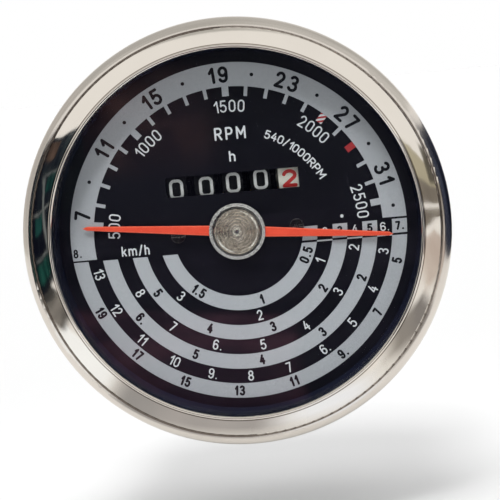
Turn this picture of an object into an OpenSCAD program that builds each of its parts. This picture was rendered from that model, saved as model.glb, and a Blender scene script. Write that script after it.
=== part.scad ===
// Tractor tachometer: engine speed pointer, road speed scales and an hour counter, in
// a round case with a rolled bezel. The dial faces -Y, +Z is up, and Y = 0 is the panel.
// Every piece is drawn face up (x right, y up, z out of the dial) and stood up by upright().

/* [Bezel] */
// Outer diameter of the rolled bezel
bezel_d = 115; // [104:0.5:126]
// Width of the bezel face, from its outer edge to the view opening
bezel_face = 8.2; // [7.8:0.1:9]
// Thickness of the bezel sheet
bezel_t = 0.8; // [0.6:0.1:1]
// Radius of the outer roll
roll_r = 2.8; // [2.2:0.1:3.2]
// Radius of the bead round the opening
bead_r = 0.5; // [0.4:0.05:0.6]
// Crown radius of the polished band, in section
band_crown_r = 20; // [16:1:40]
// Radius of the groove between band and roll
groove_r = 0.3; // [0.2:0.05:0.4]

/* [Glass and seals] */
// Thickness of the glass
glass_t = 2.5; // [2:0.1:3]
// Width of the glass that lies under the bezel
glass_lap = 3.9; // [2.7:0.1:4.1]
// Height of the rubber between glass and bezel lip
gasket_t = 1.2; // [1.1:0.1:1.5]
// Wall of the rubber round the edge of the glass
gasket_wall = 1.0; // [0.7:0.1:1.2]
// Height of the rubber ring on the case flange
seal_t = 1.3; // [1:0.1:2]
// Height of the flange of the black trim ring
trim_t = 1.0; // [0.8:0.1:1.4]
// How far the trim ring shows inside the opening where it meets the dial
trim_inset = 0.8; // [0.5:0.1:1.8]

/* [Case] */
// Width of the bezel outside the case barrel
bezel_overhang = 4.5; // [3.6:0.1:5]
// Thickness of the case sheet
case_t = 1.0; // [0.8:0.1:1.2]
// Thickness of the case flange
flange_t = 1.2; // [1:0.1:1.5]
// Outer radius of the rear corner of the case
corner_r = 3; // [2:0.5:4]

/* [Dial] */
// Thickness of the dial sheet
dial_t = 0.8; // [0.6:0.1:1]
// Depth of the dial face behind the panel
dial_depth = 1.0; // [0.6:0.1:2]
// Distance of each dial screw from the centre
dial_screw_x = 16.1; // [15.8:0.1:17.5]
// Head diameter of a dial screw
dial_screw_head = 3.9; // [3.5:0.1:4.5]
// Head height of a dial screw
dial_screw_head_h = 0.8; // [0.6:0.1:1]
// Thread diameter of a dial screw
dial_screw_d = 2.4; // [2:0.1:2.6]
// Diameter of the hole in the dial for the pointer spindle
dial_bore = 4.4; // [4:0.2:6]

/* [Pointer] */
// Length of the pointer from its axis to either tip
blade_len = 42; // [38:0.5:44]
// Full width of the pointer at its axis
blade_root_w = 3.1; // [2.6:0.1:4]
// Full width of the pointer just before the tip
blade_tip_w = 1.1; // [0.8:0.1:1.6]
// Length of the pointed end
blade_point = 1.2; // [0.8:0.1:2]
// Thickness of the pointer
blade_t = 0.5; // [0.4:0.1:0.8]
// Height of the pointer above the dial face
blade_lift = 1.0; // [0.9:0.1:1.4]
// Angle of the left tip at rest, counted from +X
blade_rest = 174.2; // [170:0.1:178]
// Diameter of the hub flange
hub_d = 15.3; // [13:0.1:17]
// Diameter of the raised hub disc
hub_disc_d = 12.7; // [10:0.1:12.9]
// Height of the hub flange
hub_flange_t = 0.7; // [0.5:0.1:0.9]
// Height of the raised hub disc over the flange
hub_disc_t = 0.8; // [0.5:0.1:1]
// Diameter of the pointer spindle
spindle_d = 1.5; // [1.2:0.1:1.6]
// Travel of the pointer in degrees
pointer_travel = 172; // [160:1:176]

/* [Hour counter] */
// Diameter of a digit wheel
drum_d = 20; // [19:0.5:21]
// Width of the rim of a digit wheel
drum_w = 5.4; // [5:0.1:5.6]
// Distance between two digit wheels
drum_pitch = 7.6; // [7.5:0.1:8]
// Sideways place of the middle digit wheel
drum_x = -0.3; // [-1:0.1:1]
// Height of the window in the dial
window_h = 5.4; // [4.8:0.2:6.4]
// Diameter of the counter shaft
counter_shaft_d = 2.5; // [2:0.1:3]
// Module of the carry teeth
carry_module = 0.8; // [0.76:0.01:0.8]
// Teeth of the ring on each digit wheel
ring_teeth = 20; // [20:1:20]
// Teeth of a carry pinion
pinion_teeth = 8; // [8:1:8]
// Diameter of the pinion shaft
pinion_shaft_d = 1.5; // [1.2:0.1:1.8]

/* [Hour drive] */
// Module of the worms and worm wheels
worm_module = 0.5; // [0.48:0.01:0.54]
// Pitch diameter of the worms
worm_d = 6; // [5.6:0.1:6.6]
// Length of the worms
worm_len = 6; // [5:0.5:7]
// Width of the worm wheels
wheel_w = 1.5; // [1.2:0.1:1.8]
// Teeth of the wheel on the cross shaft
wheel_1_teeth = 38; // [36:1:40]
// Teeth of the wheel on the upright shaft
wheel_2_teeth = 36; // [35:1:38]
// Teeth of the wheel on the counter shaft
wheel_3_teeth = 33; // [31:1:34]
// Diameter of the cross shaft and of the upright shaft
gear_shaft_d = 2; // [1.6:0.1:2.4]

/* [Speed drive] */
// Diameter of the magnet
magnet_d = 18; // [16:0.5:19]
// Length of the magnet
magnet_h = 8; // [6:0.5:10]
// Air gap on either side of the drag cup wall
air_gap = 0.5; // [0.4:0.1:0.7]
// Wall of the drag cup
cup_t = 0.5; // [0.4:0.1:0.7]
// Wall of the steel field ring
field_t = 1.5; // [1:0.1:1.8]
// Diameter of the drive spindle
drive_d = 4.8; // [4:0.2:5]
// Side of the square socket for the flexible drive
socket_w = 2.7; // [2.5:0.1:2.8]
// Turns of the hairspring
spring_turns = 5; // [4:1:6]
// Outer radius of the hairspring
spring_r = 8; // [7:0.5:9]
// Thickness of the hairspring strip
spring_t = 0.25; // [0.2:0.05:0.3]

/* [Rear fittings] */
// Thread diameter of the drive connector
connector_d = 18; // [16:0.5:20]
// Length of the connector thread
connector_len = 11.5; // [9:0.5:14]
// Diameter of the cavity for the end of the flexible drive
cavity_d = 12; // [11:0.5:12.4]
// Width across the flats of the connector collar
collar_w = 24; // [22:0.5:26]
// Thread diameter of the mounting studs
stud_d = 5; // [4:0.5:6]
// Length of the mounting studs
stud_len = 18; // [12:1:25]
// Distance of each mounting stud from the centre
stud_x = 25; // [24.5:0.5:28]
// Diameter of a lamp holder where it passes the case
lamp_d = 12; // [11:0.5:13]
// Free space between a lamp holder and the case wall
lamp_edge = 5.5; // [4:0.1:6.5]
// Angle of the lamp holders below the horizontal
lamp_angle = 33; // [30:1:36]
// Width of the earth tab
earth_tab_w = 6.3; // [4.8:0.1:8]

/* [Hidden] */

$fn = 64;

// Colours, as the photograph shows them
chrome = [0.86, 0.83, 0.79];
nickel = [0.60, 0.57, 0.51];
black_paint = [0.09, 0.09, 0.12];
pointer_red = [0.95, 0.30, 0.20];
rubber = [0.08, 0.08, 0.08];
zinc = [0.66, 0.67, 0.66];
brass = [0.78, 0.62, 0.30];
steel = [0.55, 0.56, 0.58];
aluminium = [0.78, 0.79, 0.80];
black_plastic = [0.12, 0.12, 0.13];
white_plastic = [0.88, 0.88, 0.84];

// Clearances shared by several pieces
run_gap = 0.05;
seat_gap = 0.3;
slip = 0.05;
eps = 0.01;

// Front stack, upward from the panel plane
flange_z = bezel_t;
seal_z = flange_z + flange_t;
trim_z = seal_z + seal_t;
glass_z = trim_z + trim_t;
gasket_z = glass_z + glass_t;
lip_z = gasket_z + gasket_t + 2 * bead_r;

// Radii of the bezel
bezel_r = bezel_d / 2;
opening_r = bezel_r - bezel_face;
roll_x = bezel_r - roll_r;
roll_z = lip_z - 1.1 - roll_r;
band_in = [opening_r + 2 * bead_r + 0.1, lip_z - 0.2];
band_out = [roll_x, roll_z + roll_r];
case_r = bezel_r - bezel_overhang;
case_bore_r = case_r - case_t;

// The flange has a bend of this radius behind it, and the hem stops short of the bend
flange_bend_r = bezel_t;
flange_r = bezel_r - bezel_t - seat_gap;
hem_r = case_r + flange_bend_r + 2 * slip;
seal_out_r = flange_r - 0.2;
seal_in_r = case_bore_r - 0.6;
glass_r = opening_r + glass_lap;
gasket_r = glass_r + gasket_wall;
trim_r = opening_r - trim_inset;
trim_rim_r = gasket_r + 0.1;
trim_wall = 1.2;

// The band is an arc through its two ends
band_half = norm(band_out - band_in) / 2;
band_dir = (band_out - band_in) / (2 * band_half);
band_mid = (band_out + band_in) / 2;
band_drop = sqrt(band_crown_r * band_crown_r - band_half * band_half);
band_centre = band_mid + band_drop * [band_dir[1], -band_dir[0]];

// Dial and pointer levels
dial_z = -dial_depth;
dial_back = dial_z - dial_t;
dial_r = case_bore_r - 0.6;
blade_z = dial_z + blade_lift;
hub_z = blade_z + blade_t;
spindle_r = spindle_d / 2;
sleeve_r = dial_bore / 2 - 0.5;
collar_r = spindle_r + 0.85;

// Counter levels
drum_r = drum_d / 2;
drum_gap = 0.8;
counter_z = dial_back - drum_gap - drum_r;
drum_count = 5;
rim_gap = drum_pitch - drum_w;
window_w = (drum_count - 1) * drum_pitch + drum_w + 0.2;
counter_hub_r = 3;
hub_slip = 0.2;
hub_w = drum_pitch - hub_slip;
shaft_r = counter_shaft_d / 2;

// Carry gears
ring_r = ring_teeth * carry_module / 2;
pinion_r = pinion_teeth * carry_module / 2;
carry_angle = 25;
carry_distance = ring_r + pinion_r;
pinion_w = rim_gap - 0.4;
ring_w = pinion_w / 2;
pinion_shaft_r = pinion_shaft_d / 2;

// Worm gears: single start, so a wheel's teeth are also its ratio
worm_r = worm_d / 2;
worm_lead = PI * worm_module;
worm_wave = 0.9 * worm_module;
worm_tip_r = worm_r + worm_wave;
worm_sides = 14;
wheel_tip = 0.6 * worm_module;
wheel_root = 1.2 * worm_module;
tooth_play = 0.3 * worm_lead / 1.5;
wheel_1_r = wheel_1_teeth * worm_module / 2;
wheel_2_r = wheel_2_teeth * worm_module / 2;
wheel_3_r = wheel_3_teeth * worm_module / 2;
gear_shaft_r = gear_shaft_d / 2;

// Heights of the shafts on the dial, each a centre distance from the last
cross_y = worm_r + wheel_1_r;
upright_y = cross_y + worm_r + wheel_2_r;
counter_y = upright_y - worm_r - wheel_3_r;
window_y = counter_y - 0.15;

// Side plates of the counter
plate_t = 1;
clutch_t = 1;
plate_gap = 0.3;
hub_stack_half = (drum_count - 1) / 2 * drum_pitch + hub_w / 2;
left_plate_x = drum_x - hub_stack_half - hub_slip - plate_t;
right_plate_x = drum_x + hub_stack_half + 2 * plate_gap + clutch_t;
upright_x = right_plate_x + plate_t + 1.25 + worm_tip_r;
foot_w = 3.8;
foot_t = 1;
plate_screw_r = 1;
plate_drop = 8;
plate_rise = 5;
plate_foot_rise = 7;
pinion_y = counter_y + carry_distance * cos(carry_angle);
plate_y = [counter_y - plate_drop, pinion_y + pinion_shaft_r + 2.25];
pinion_z = counter_z - carry_distance * sin(carry_angle);

// Bridge and everything behind it
bridge_t = 2;
bridge_front = counter_z - drum_r - 0.6;
bridge_back = bridge_front - bridge_t;
spring_h = 1;
spring_front = bridge_back - 1;
spring_back = spring_front - spring_h;
cup_front = spring_back - 1;
cup_floor_t = 0.8;
magnet_front = cup_front - cup_floor_t - air_gap;
magnet_back = magnet_front - magnet_h;
cup_rim = magnet_back - 1;
magnet_r = magnet_d / 2;
cup_in_r = magnet_r + air_gap;
cup_out_r = cup_in_r + cup_t;
field_in_r = cup_out_r + air_gap;
field_out_r = field_in_r + field_t;
cross_z = cup_rim - 1.7 - wheel_1_r - wheel_tip;
base_front = cross_z - wheel_1_r - wheel_tip - 1.2;
base_t = 2;
base_back = base_front - base_t;
case_back = base_back - case_t;
pillar_r = 2.5;
base_r = 38;
low_pillar_y = -26;
bridge_margin = 5;
bridge_notch_x = 30;
bridge_notch_r = 22;

// Bridge pillars: two behind the dial screws, one low and one opposite the upright shaft
pillar_places = [
    [-dial_screw_x, 0], [dial_screw_x, 0], [0, low_pillar_y], [-upright_x, upright_y]
];
bridge_screw_places = [pillar_places[2], pillar_places[3]];
pillar_screw_r = 1.5;
pillar_screw_len = 6;
bridge_screw_head_r = 2.8;
bridge_screw_head_h = 1.6;

// Stops of the pointer, on a finger behind the dial
bush_r = 2.2;
bush_back = bridge_back - 0.5;
bush_front = bridge_front + 3;
finger_z = bush_front + 0.2;
finger_t = 1.2;
finger_w = 1.2;
finger_inset = 0.2;
finger_len = 6.8;
finger_rest = -2;
stop_r = 0.6;
stop_place_r = 6;
stop_gap = 0.05;
stop_swing = asin((stop_r + finger_w / 2 + stop_gap) / stop_place_r);

// Drive and rear fittings
drive_r = drive_d / 2;
bush_wall = 2;
drive_bush_r = drive_r + run_gap + bush_wall;
spigot_r = drive_bush_r + 1.8;
washer_t = 0.5;
collar_t = 2;
thread_z = case_back - washer_t - collar_t;
connector_back = thread_z - connector_len;
cavity_z = thread_z - 1.5;
drive_back = cavity_z + 0.2;
stud_neck_r = stud_d / 2 + 0.5;
stud_head_r = stud_d / 2 + 2.5;
stud_head_t = 1.2;
movement_screw_r = 1.95;
movement_screw_inset = 7;
movement_screw_ring_r = base_r - movement_screw_inset;
movement_screw_places = [for (a = [90, 235, 305]) movement_screw_ring_r * [cos(a), sin(a)]];
movement_screw_head_r = 3.5;
movement_screw_head_h = 2.2;
lamp_r = lamp_d / 2;
lamp_place_r = case_bore_r - lamp_r - lamp_edge;
lamp_places = [for (s = [-1, 1]) lamp_place_r * [s * cos(lamp_angle), -sin(lamp_angle)]];
lamp_rim = 1.5;
lamp_inside = 4;
lamp_grip_len = 9;
lamp_contact_len = 14;
lamp_contact_x = lamp_r / 2;
lamp_contact_half = [0.4, 1.6];
lamp_base_r = 3.2;
bulb_r = 4.5;
bulb_neck = 3;
bulb_len = 11;
earth_t = 0.8;
earth_screw_r = 1.95;
earth_y = -(base_r + earth_screw_r + 1.05);
earth_foot = 5;
earth_spade_len = 10;
earth_hole_r = 0.9;
earth_screw_head_r = 3;
earth_screw_head_h = 2;
earth_screw_reach = 3;
dial_screw_len = 5;
foot_screw_head_r = 1.6;
bracket_screw_head_r = 1.8;
small_screw_head_h = 1;

// Brackets of the cross shaft
bracket_t = 1.5;
bracket_half_w = 3.5;
bracket_left_x = -8;
bracket_right_x = upright_x + worm_len / 2 + 1.5;
bracket_foot = 5;
bracket_foot_t = 1.2;
bracket_screw_places = [
    [bracket_left_x - bracket_foot / 2, cross_y],
    [bracket_right_x + bracket_t + bracket_foot / 2, cross_y]
];

// Clutch between the last worm wheel and the first digit wheel
clutch_tube_r = shaft_r + 0.9;
clutch_disc_r = 5;

// Feet of the counter's side plates, screwed to the bridge
foot_screw_y = [-5, 4];
counter_screw_places = [
    for (x = [left_plate_x - foot_w / 2, right_plate_x + plate_t + foot_w / 2], y = foot_screw_y)
        [x, counter_y + y]
];

// Stands a piece drawn face up so that the dial looks along -Y
module upright() {
    rotate([90, 0, 0]) children();
}

// A cylinder between two levels
module rod(r, z0, z1) {
    translate([0, 0, z0]) cylinder(r = r, h = z1 - z0);
}

// A drill that clears both faces of what lies between two levels
module drill(p, r, z0, z1) {
    translate([p[0], p[1]]) rod(r, z0 - 1, z1 + 1);
}

// A ring between two levels
module tube(r_out, r_in, z0, z1) {
    difference() {
        rod(r_out, z0, z1);
        rod(r_in, z0 - 1, z1 + 1);
    }
}

// A block between two corners
module block(a, b) {
    translate(a) cube(b - a);
}

// A rod along X between two places
module cross_rod(r, x0, x1) {
    translate([x0, 0, 0]) rotate([0, 90, 0]) cylinder(r = r, h = x1 - x0);
}

// Screw with a slotted round head: shank below z = 0, head above it
module slotted_screw(r, len, head_r, head_h) {
    difference() {
        union() {
            rod(r, -len, 0);
            rod(head_r, 0, head_h);
        }
        slot_w = head_r * 0.3;
        block([-head_r - 1, -slot_w / 2, head_h * 0.5], [head_r + 1, slot_w / 2, head_h + 1]);
    }
}

// Outline of a spur gear; a tooth lies at angle 0
module gear_outline(teeth, tip_r, pitch_r, root_r, pitch_w, tip_w) {
    half_root = 0.62 * 180 / teeth;
    half_pitch = pitch_w / 2 / pitch_r * 180 / PI;
    half_tip = tip_w / 2 / tip_r * 180 / PI;
    polygon([
        for (i = [0:teeth - 1], p = [[-half_root, root_r], [-half_pitch, pitch_r], [-half_tip, tip_r],
                                     [half_tip, tip_r], [half_pitch, pitch_r], [half_root, root_r]])
            let (a = i * 360 / teeth + p[0]) p[1] * [cos(a), sin(a)]
    ]);
}

// Worm along Z, centred, whose thread crest faces +X at the middle
module worm_thread() {
    turns = worm_len / worm_lead;
    rotate([0, 0, -180 * turns])
        translate([0, 0, -worm_len / 2])
            linear_extrude(height = worm_len, twist = -360 * turns,
                    slices = ceil(turns * worm_sides), segments = worm_sides)
                translate([worm_wave, 0]) circle(r = worm_r, $fn = worm_sides);
}

// Worm wheel about Z, centred, with a gap between two teeth facing +X
module worm_wheel(teeth, pitch_r, bore_r) {
    difference() {
        linear_extrude(height = wheel_w, center = true)
            rotate(180 / teeth)
                gear_outline(teeth, pitch_r + wheel_tip, pitch_r, pitch_r - wheel_root,
                    worm_lead / 2 - tooth_play, worm_lead * 0.16);
        cylinder(r = bore_r, h = wheel_w + 2, center = true);
    }
}

// Section of the bezel: hem, wall, roll, band and bead
module bezel_section() {
    translate([hem_r, 0]) square([bezel_r - hem_r, bezel_t]);
    translate([bezel_r - bezel_t, 0]) square([bezel_t, roll_z]);
    difference() {
        union() {
            intersection() {
                translate([roll_x, roll_z]) difference() {
                    circle(r = roll_r);
                    circle(r = roll_r - bezel_t);
                }
                translate([roll_x, roll_z]) square([roll_r, roll_r]);
            }
            intersection() {
                translate(band_centre) difference() {
                    circle(r = band_crown_r, $fn = 256);
                    circle(r = band_crown_r - bezel_t, $fn = 256);
                }
                translate([band_in[0] - bead_r, roll_z]) square([roll_x - band_in[0] + bead_r, roll_r * 2]);
            }
        }
        translate([roll_x, roll_z + roll_r + groove_r / 3]) circle(r = groove_r, $fn = 24);
        translate([opening_r, gasket_z]) square([bead_r, lip_z]);
    }
    translate([opening_r + bead_r, lip_z - bead_r]) circle(r = bead_r, $fn = 32);
}

module bezel() {
    color(chrome) upright() rotate_extrude($fn = 128) bezel_section();
}

module glass() {
    color([0.85, 0.90, 0.90, 0.25]) upright() rod(glass_r, glass_z, gasket_z);
}

// Rubber that wraps the front and the edge of the glass, under the band of the bezel
module glass_gasket() {
    color(rubber) upright() rotate_extrude($fn = 128)
        difference() {
            translate([opening_r + bead_r, glass_z])
                square([gasket_r - opening_r - bead_r, lip_z - glass_z]);
            translate([0, glass_z - 1]) square([glass_r, glass_t + 1]);
            difference() {
                translate([opening_r, gasket_z - 1]) square([bezel_face, roll_r * 4]);
                translate(band_centre) circle(r = band_crown_r - bezel_t, $fn = 256);
            }
            translate([opening_r + bead_r, lip_z - bead_r]) circle(r = bead_r, $fn = 32);
        }
}

// Black ring that lines the depth between glass and dial
module trim_ring() {
    color(black_plastic) upright() rotate_extrude($fn = 128)
        polygon([
            [opening_r, glass_z], [trim_rim_r, glass_z], [trim_rim_r, trim_z],
            [opening_r + trim_wall, trim_z], [trim_r + trim_wall, dial_z], [trim_r, dial_z]
        ]);
}

module case_seal() {
    color(rubber) upright() tube(seal_out_r, seal_in_r, seal_z, trim_z);
}

// Drawn cup with a flange that the hem of the bezel grips
module case() {
    color(zinc) upright() difference() {
        rotate_extrude($fn = 128) {
            translate([case_bore_r, flange_z]) square([flange_r - case_bore_r, flange_t]);
            difference() {
                translate([case_bore_r, 0]) square([case_t + flange_bend_r, flange_bend_r]);
                translate([case_r + flange_bend_r, 0]) circle(r = flange_bend_r);
            }
            translate([case_bore_r, case_back + corner_r])
                square([case_t, flange_z - case_back - corner_r]);
            translate([0, case_back]) square([case_r - corner_r, case_t]);
            intersection() {
                translate([case_r - corner_r, case_back + corner_r]) difference() {
                    circle(r = corner_r);
                    circle(r = corner_r - case_t);
                }
                translate([case_r - corner_r, case_back]) square(corner_r);
            }
        }
        drill([0, 0], spigot_r + slip, case_back, base_back);
        for (p = lamp_places) drill(p, lamp_r + slip, case_back, base_back);
        for (p = movement_screw_places) drill(p, movement_screw_r + 0.2, case_back, base_back);
        for (s = [-1, 1]) drill([s * stud_x, 0], stud_neck_r + slip, case_back, base_back);
        drill([0, earth_y], earth_screw_r + slip, case_back, base_back);
    }
}

// Dial sheet with the counter window, the spindle hole and two screw holes
module dial_plate() {
    color(black_paint) upright() difference() {
        rod(dial_r, dial_back, dial_z);
        block([drum_x - window_w / 2, window_y - window_h / 2, dial_back - 1],
            [drum_x + window_w / 2, window_y + window_h / 2, dial_z + 1]);
        drill([0, 0], dial_bore / 2, dial_back, dial_z);
        for (s = [-1, 1]) drill([s * dial_screw_x, 0], dial_screw_d / 2 + 0.15, dial_back, dial_z);
    }
}

module dial_screws() {
    color(black_paint) upright() for (s = [-1, 1])
        translate([s * dial_screw_x, 0, dial_z])
            slotted_screw(dial_screw_d / 2, dial_screw_len, dial_screw_head / 2, dial_screw_head_h);
}

// Pillars that carry the dial; their tails screw the bridge to the pillars below
module dial_pillars() {
    color(brass) upright() for (s = [-1, 1]) translate([s * dial_screw_x, 0]) difference() {
        union() {
            rod(pillar_r, bridge_front, dial_back);
            rod(pillar_screw_r, bridge_back - pillar_screw_len, bridge_front);
        }
        rod(dial_screw_d / 2 + slip, dial_back - dial_screw_len - 1, dial_back + 1);
    }
}

// Double ended pointer, pressed on the sleeve of its hub
module pointer_blade() {
    half_tip = blade_tip_w / 2;
    half_root = blade_root_w / 2;
    color(pointer_red) upright() rotate([0, 0, blade_rest]) difference() {
        translate([0, 0, blade_z]) linear_extrude(height = blade_t) union() {
            for (s = [0, 180]) rotate(s) polygon([
                [0, -half_root], [blade_len - blade_point, -half_tip], [blade_len, 0],
                [blade_len - blade_point, half_tip], [0, half_root]
            ]);
            circle(r = sleeve_r + 1);
        }
        rod(sleeve_r, blade_z - 1, hub_z + 1);
    }
}

// Turned hub: sleeve, flange and raised disc with a punch mark
module pointer_hub() {
    top = hub_z + hub_flange_t + hub_disc_t;
    color(nickel) upright() difference() {
        union() {
            rod(sleeve_r, dial_back, hub_z);
            rod(hub_d / 2, hub_z, hub_z + hub_flange_t);
            rod(hub_disc_d / 2, hub_z, top);
        }
        rod(spindle_r, dial_back - 1, hub_z + hub_flange_t);
        translate([0, 0, top - 0.3]) cylinder(r1 = 0.1, r2 = 0.7, h = 0.3 + eps);
    }
}

// Spindle with the stop finger, the spring collar and the rear pivot
module pointer_spindle() {
    color(steel) upright() {
        rod(spindle_r, cup_front - cup_floor_t, hub_z + hub_flange_t);
        rod(spindle_r - 0.15, magnet_front - 2.2, cup_front - cup_floor_t);
        rod(collar_r, cup_front, bush_back - 0.2);
        rod(collar_r, finger_z, finger_z + finger_t);
        rotate([0, 0, finger_rest])
            block([spindle_r, -finger_w / 2, finger_z + finger_inset],
                [finger_len, finger_w / 2, finger_z + finger_t - finger_inset]);
    }
}

// Aluminium cup that the turning magnet drags round
module drag_cup() {
    color(aluminium) upright() {
        tube(cup_out_r, cup_in_r, cup_rim, cup_front);
        tube(cup_in_r + eps, spindle_r, cup_front - cup_floor_t, cup_front);
    }
}

// Flat spiral from the spindle collar to its stud on the bridge
module hairspring() {
    steps = 20 * spring_turns;
    spring_in_r = collar_r + spring_t / 2 + slip;
    function spiral(i, side) =
        let (a = 360 * spring_turns * i / steps,
             r = spring_in_r + (spring_r - spring_in_r) * i / steps + side * spring_t / 2)
        r * [cos(a), sin(a)];
    color(steel) upright() translate([0, 0, spring_back]) linear_extrude(height = spring_h)
        polygon(concat(
            [for (i = [0:steps]) spiral(i, 1)],
            [for (i = [steps:-1:0]) spiral(i, -1)]
        ));
}

// Post on the back of the bridge that holds the outer end of the hairspring
module hairspring_stud() {
    color(brass) upright() translate([spring_r, 0.75]) rod(0.75, spring_back, bridge_back);
}

module pointer_bush() {
    color(brass) upright() tube(bush_r, spindle_r + run_gap, bush_back, bush_front);
}

// Steel ring that closes the magnet's field round the cup
module field_ring() {
    color(steel) upright() tube(field_out_r, field_in_r, cup_rim, bridge_back);
}

// Front plate of the movement, with the two stops of the pointer
module top_bridge() {
    color(brass) upright() {
        difference() {
            translate([0, 0, bridge_back]) linear_extrude(height = bridge_t) difference() {
                intersection() {
                    circle(r = base_r);
                    translate([-upright_x - bridge_margin, low_pillar_y - bridge_margin])
                        square([2 * upright_x + 2 * bridge_margin,
                            upright_y - low_pillar_y + 2 * bridge_margin]);
                }
                for (s = [-1, 1])
                    translate([s * bridge_notch_x, low_pillar_y]) circle(r = bridge_notch_r);
            }
            drill([0, 0], bush_r, bridge_back, bridge_front);
            for (p = pillar_places) drill(p, pillar_screw_r + slip, bridge_back, bridge_front);
            drill([upright_x, upright_y], gear_shaft_r + run_gap, bridge_back, bridge_front);
            for (p = counter_screw_places) drill(p, plate_screw_r + slip, bridge_back, bridge_front);
        }
        for (a = [finger_rest + stop_swing, finger_rest - pointer_travel - stop_swing])
            rotate([0, 0, a]) translate([stop_place_r, 0]) rod(stop_r, bridge_front, finger_z + finger_t);
    }
}

module bridge_screws() {
    color(steel) upright() for (p = bridge_screw_places)
        translate([p[0], p[1], bridge_front])
            slotted_screw(pillar_screw_r, bridge_t + pillar_screw_len, bridge_screw_head_r,
                bridge_screw_head_h);
}

// Four pillars between the base plate and the bridge
module frame_pillars() {
    color(brass) upright() for (p = pillar_places) translate(p) difference() {
        rod(pillar_r, base_front, bridge_back);
        rod(pillar_screw_r + slip, bridge_back - pillar_screw_len - 1, bridge_back + 1);
    }
}

// Rear plate of the movement, bolted to the back wall of the case
module base_plate() {
    color(zinc) upright() difference() {
        rod(base_r, base_back, base_front);
        drill([0, 0], spigot_r + slip, base_back, base_front);
        for (p = lamp_places) drill(p, lamp_r + 2.5, base_back, base_front);
        for (p = movement_screw_places) drill(p, movement_screw_r + slip, base_back, base_front);
        for (s = [-1, 1]) drill([s * stud_x, 0], stud_head_r + 0.5, base_back, base_front);
        drill([upright_x, upright_y], gear_shaft_r + run_gap, base_back, base_front);
        for (p = bracket_screw_places) drill(p, plate_screw_r + slip, base_back, base_front);
    }
}

module movement_screws() {
    color(steel) upright() for (p = movement_screw_places)
        translate([p[0], p[1], case_back]) mirror([0, 0, 1])
            slotted_screw(movement_screw_r, case_t + base_t, movement_screw_head_r,
                movement_screw_head_h);
}

// Side plate of the counter: x0 is its left face, side is where its foot points
module counter_plate(x0, side, shaft_hole_r) {
    foot_x = side > 0 ? x0 + plate_t : x0 - foot_w;
    difference() {
        union() {
            block([x0, plate_y[0], bridge_front], [x0 + plate_t, plate_y[1], counter_z + plate_rise]);
            block([foot_x, plate_y[0], bridge_front],
                [foot_x + foot_w, counter_y + plate_foot_rise, bridge_front + foot_t]);
        }
        translate([0, counter_y, counter_z]) cross_rod(shaft_hole_r, x0 - 1, x0 + plate_t + 1);
        translate([0, pinion_y, pinion_z]) cross_rod(pinion_shaft_r, x0 - 1, x0 + plate_t + 1);
        for (y = foot_screw_y)
            drill([foot_x + foot_w / 2, counter_y + y], plate_screw_r + slip, bridge_front,
                bridge_front + foot_t);
    }
}

module counter_plate_left() {
    color(zinc) upright() counter_plate(left_plate_x, -1, shaft_r);
}

module counter_plate_right() {
    color(zinc) upright() counter_plate(right_plate_x, 1, clutch_tube_r + run_gap);
}

module counter_plate_screws() {
    color(steel) upright() for (p = counter_screw_places)
        translate([p[0], p[1], bridge_front + foot_t])
            slotted_screw(plate_screw_r, bridge_t + foot_t, foot_screw_head_r, small_screw_head_h);
}

// Fixed shaft that the digit wheels turn on
module counter_shaft() {
    color(steel) upright() translate([0, counter_y, counter_z])
        cross_rod(shaft_r, left_plate_x - 0.5, upright_x + wheel_w / 2 + 1);
}

module carry_pinion_shaft() {
    color(steel) upright() translate([0, pinion_y, pinion_z])
        cross_rod(pinion_shaft_r, left_plate_x - 0.3, right_plate_x + plate_t);
}

// Digit wheel at a place in the row, 0 at the right. All but the first have a ring of
// teeth on their right face, and all but the last a two tooth carry on their left face.
module digit_wheel(place) {
    x = drum_x + ((drum_count - 1) / 2 - place) * drum_pitch;
    upright() translate([x, counter_y, counter_z]) rotate([0, 90, 0]) difference() {
        union() {
            tube(drum_r, drum_r - 1.2, -drum_w / 2, drum_w / 2);
            rod(drum_r - 1.2 + eps, -0.8, 0.8);
            rod(counter_hub_r, -hub_w / 2, hub_w / 2);
            if (place > 0) ring_gear();
            if (place < drum_count - 1) carry_segment();
        }
        rod(shaft_r + run_gap, -drum_pitch, drum_pitch);
    }
}

// Ring of teeth on the right face of a digit wheel, with the boss that carries it
module ring_gear() {
    translate([0, 0, 0.8]) linear_extrude(height = drum_w / 2 + ring_w - 0.8)
        rotate(90 - carry_angle) gear_outline(ring_teeth, ring_r + 0.6 * carry_module, ring_r,
            ring_r - 0.9 * carry_module, carry_module * 1.25, carry_module * 0.55);
}

// Two tooth carry on the left face, drawn just short of the pinion's teeth
module carry_segment() {
    reach = carry_distance - pinion_r - carry_module - 0.2;
    for (a = [-9, 9]) rotate([0, 0, a])
        block([counter_hub_r - 0.5, -0.5, -drum_w / 2 - ring_w], [reach, 0.5, -0.7]);
}

module digit_wheel_tenths() {
    color(white_plastic) digit_wheel(0);
}

module digit_wheel_units() {
    color(black_plastic) digit_wheel(1);
}

module digit_wheel_tens() {
    color(black_plastic) digit_wheel(2);
}

module digit_wheel_hundreds() {
    color(black_plastic) digit_wheel(3);
}

module digit_wheel_thousands() {
    color(black_plastic) digit_wheel(4);
}

// Pinion between digit wheels place - 1 and place
module carry_pinion(place) {
    x = drum_x + ((drum_count - 1) / 2 - place + 0.5) * drum_pitch;
    upright() translate([x, pinion_y, pinion_z]) rotate([0, 90, 0]) difference() {
        translate([0, 0, -pinion_w / 2]) linear_extrude(height = pinion_w)
            rotate(90 - carry_angle + 180 / pinion_teeth)
                gear_outline(pinion_teeth, pinion_r + 0.75 * carry_module, pinion_r,
                    pinion_r - 0.9 * carry_module, carry_module * 1.08, carry_module * 0.45);
        rod(pinion_shaft_r + run_gap, -pinion_w, pinion_w);
    }
}

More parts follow.
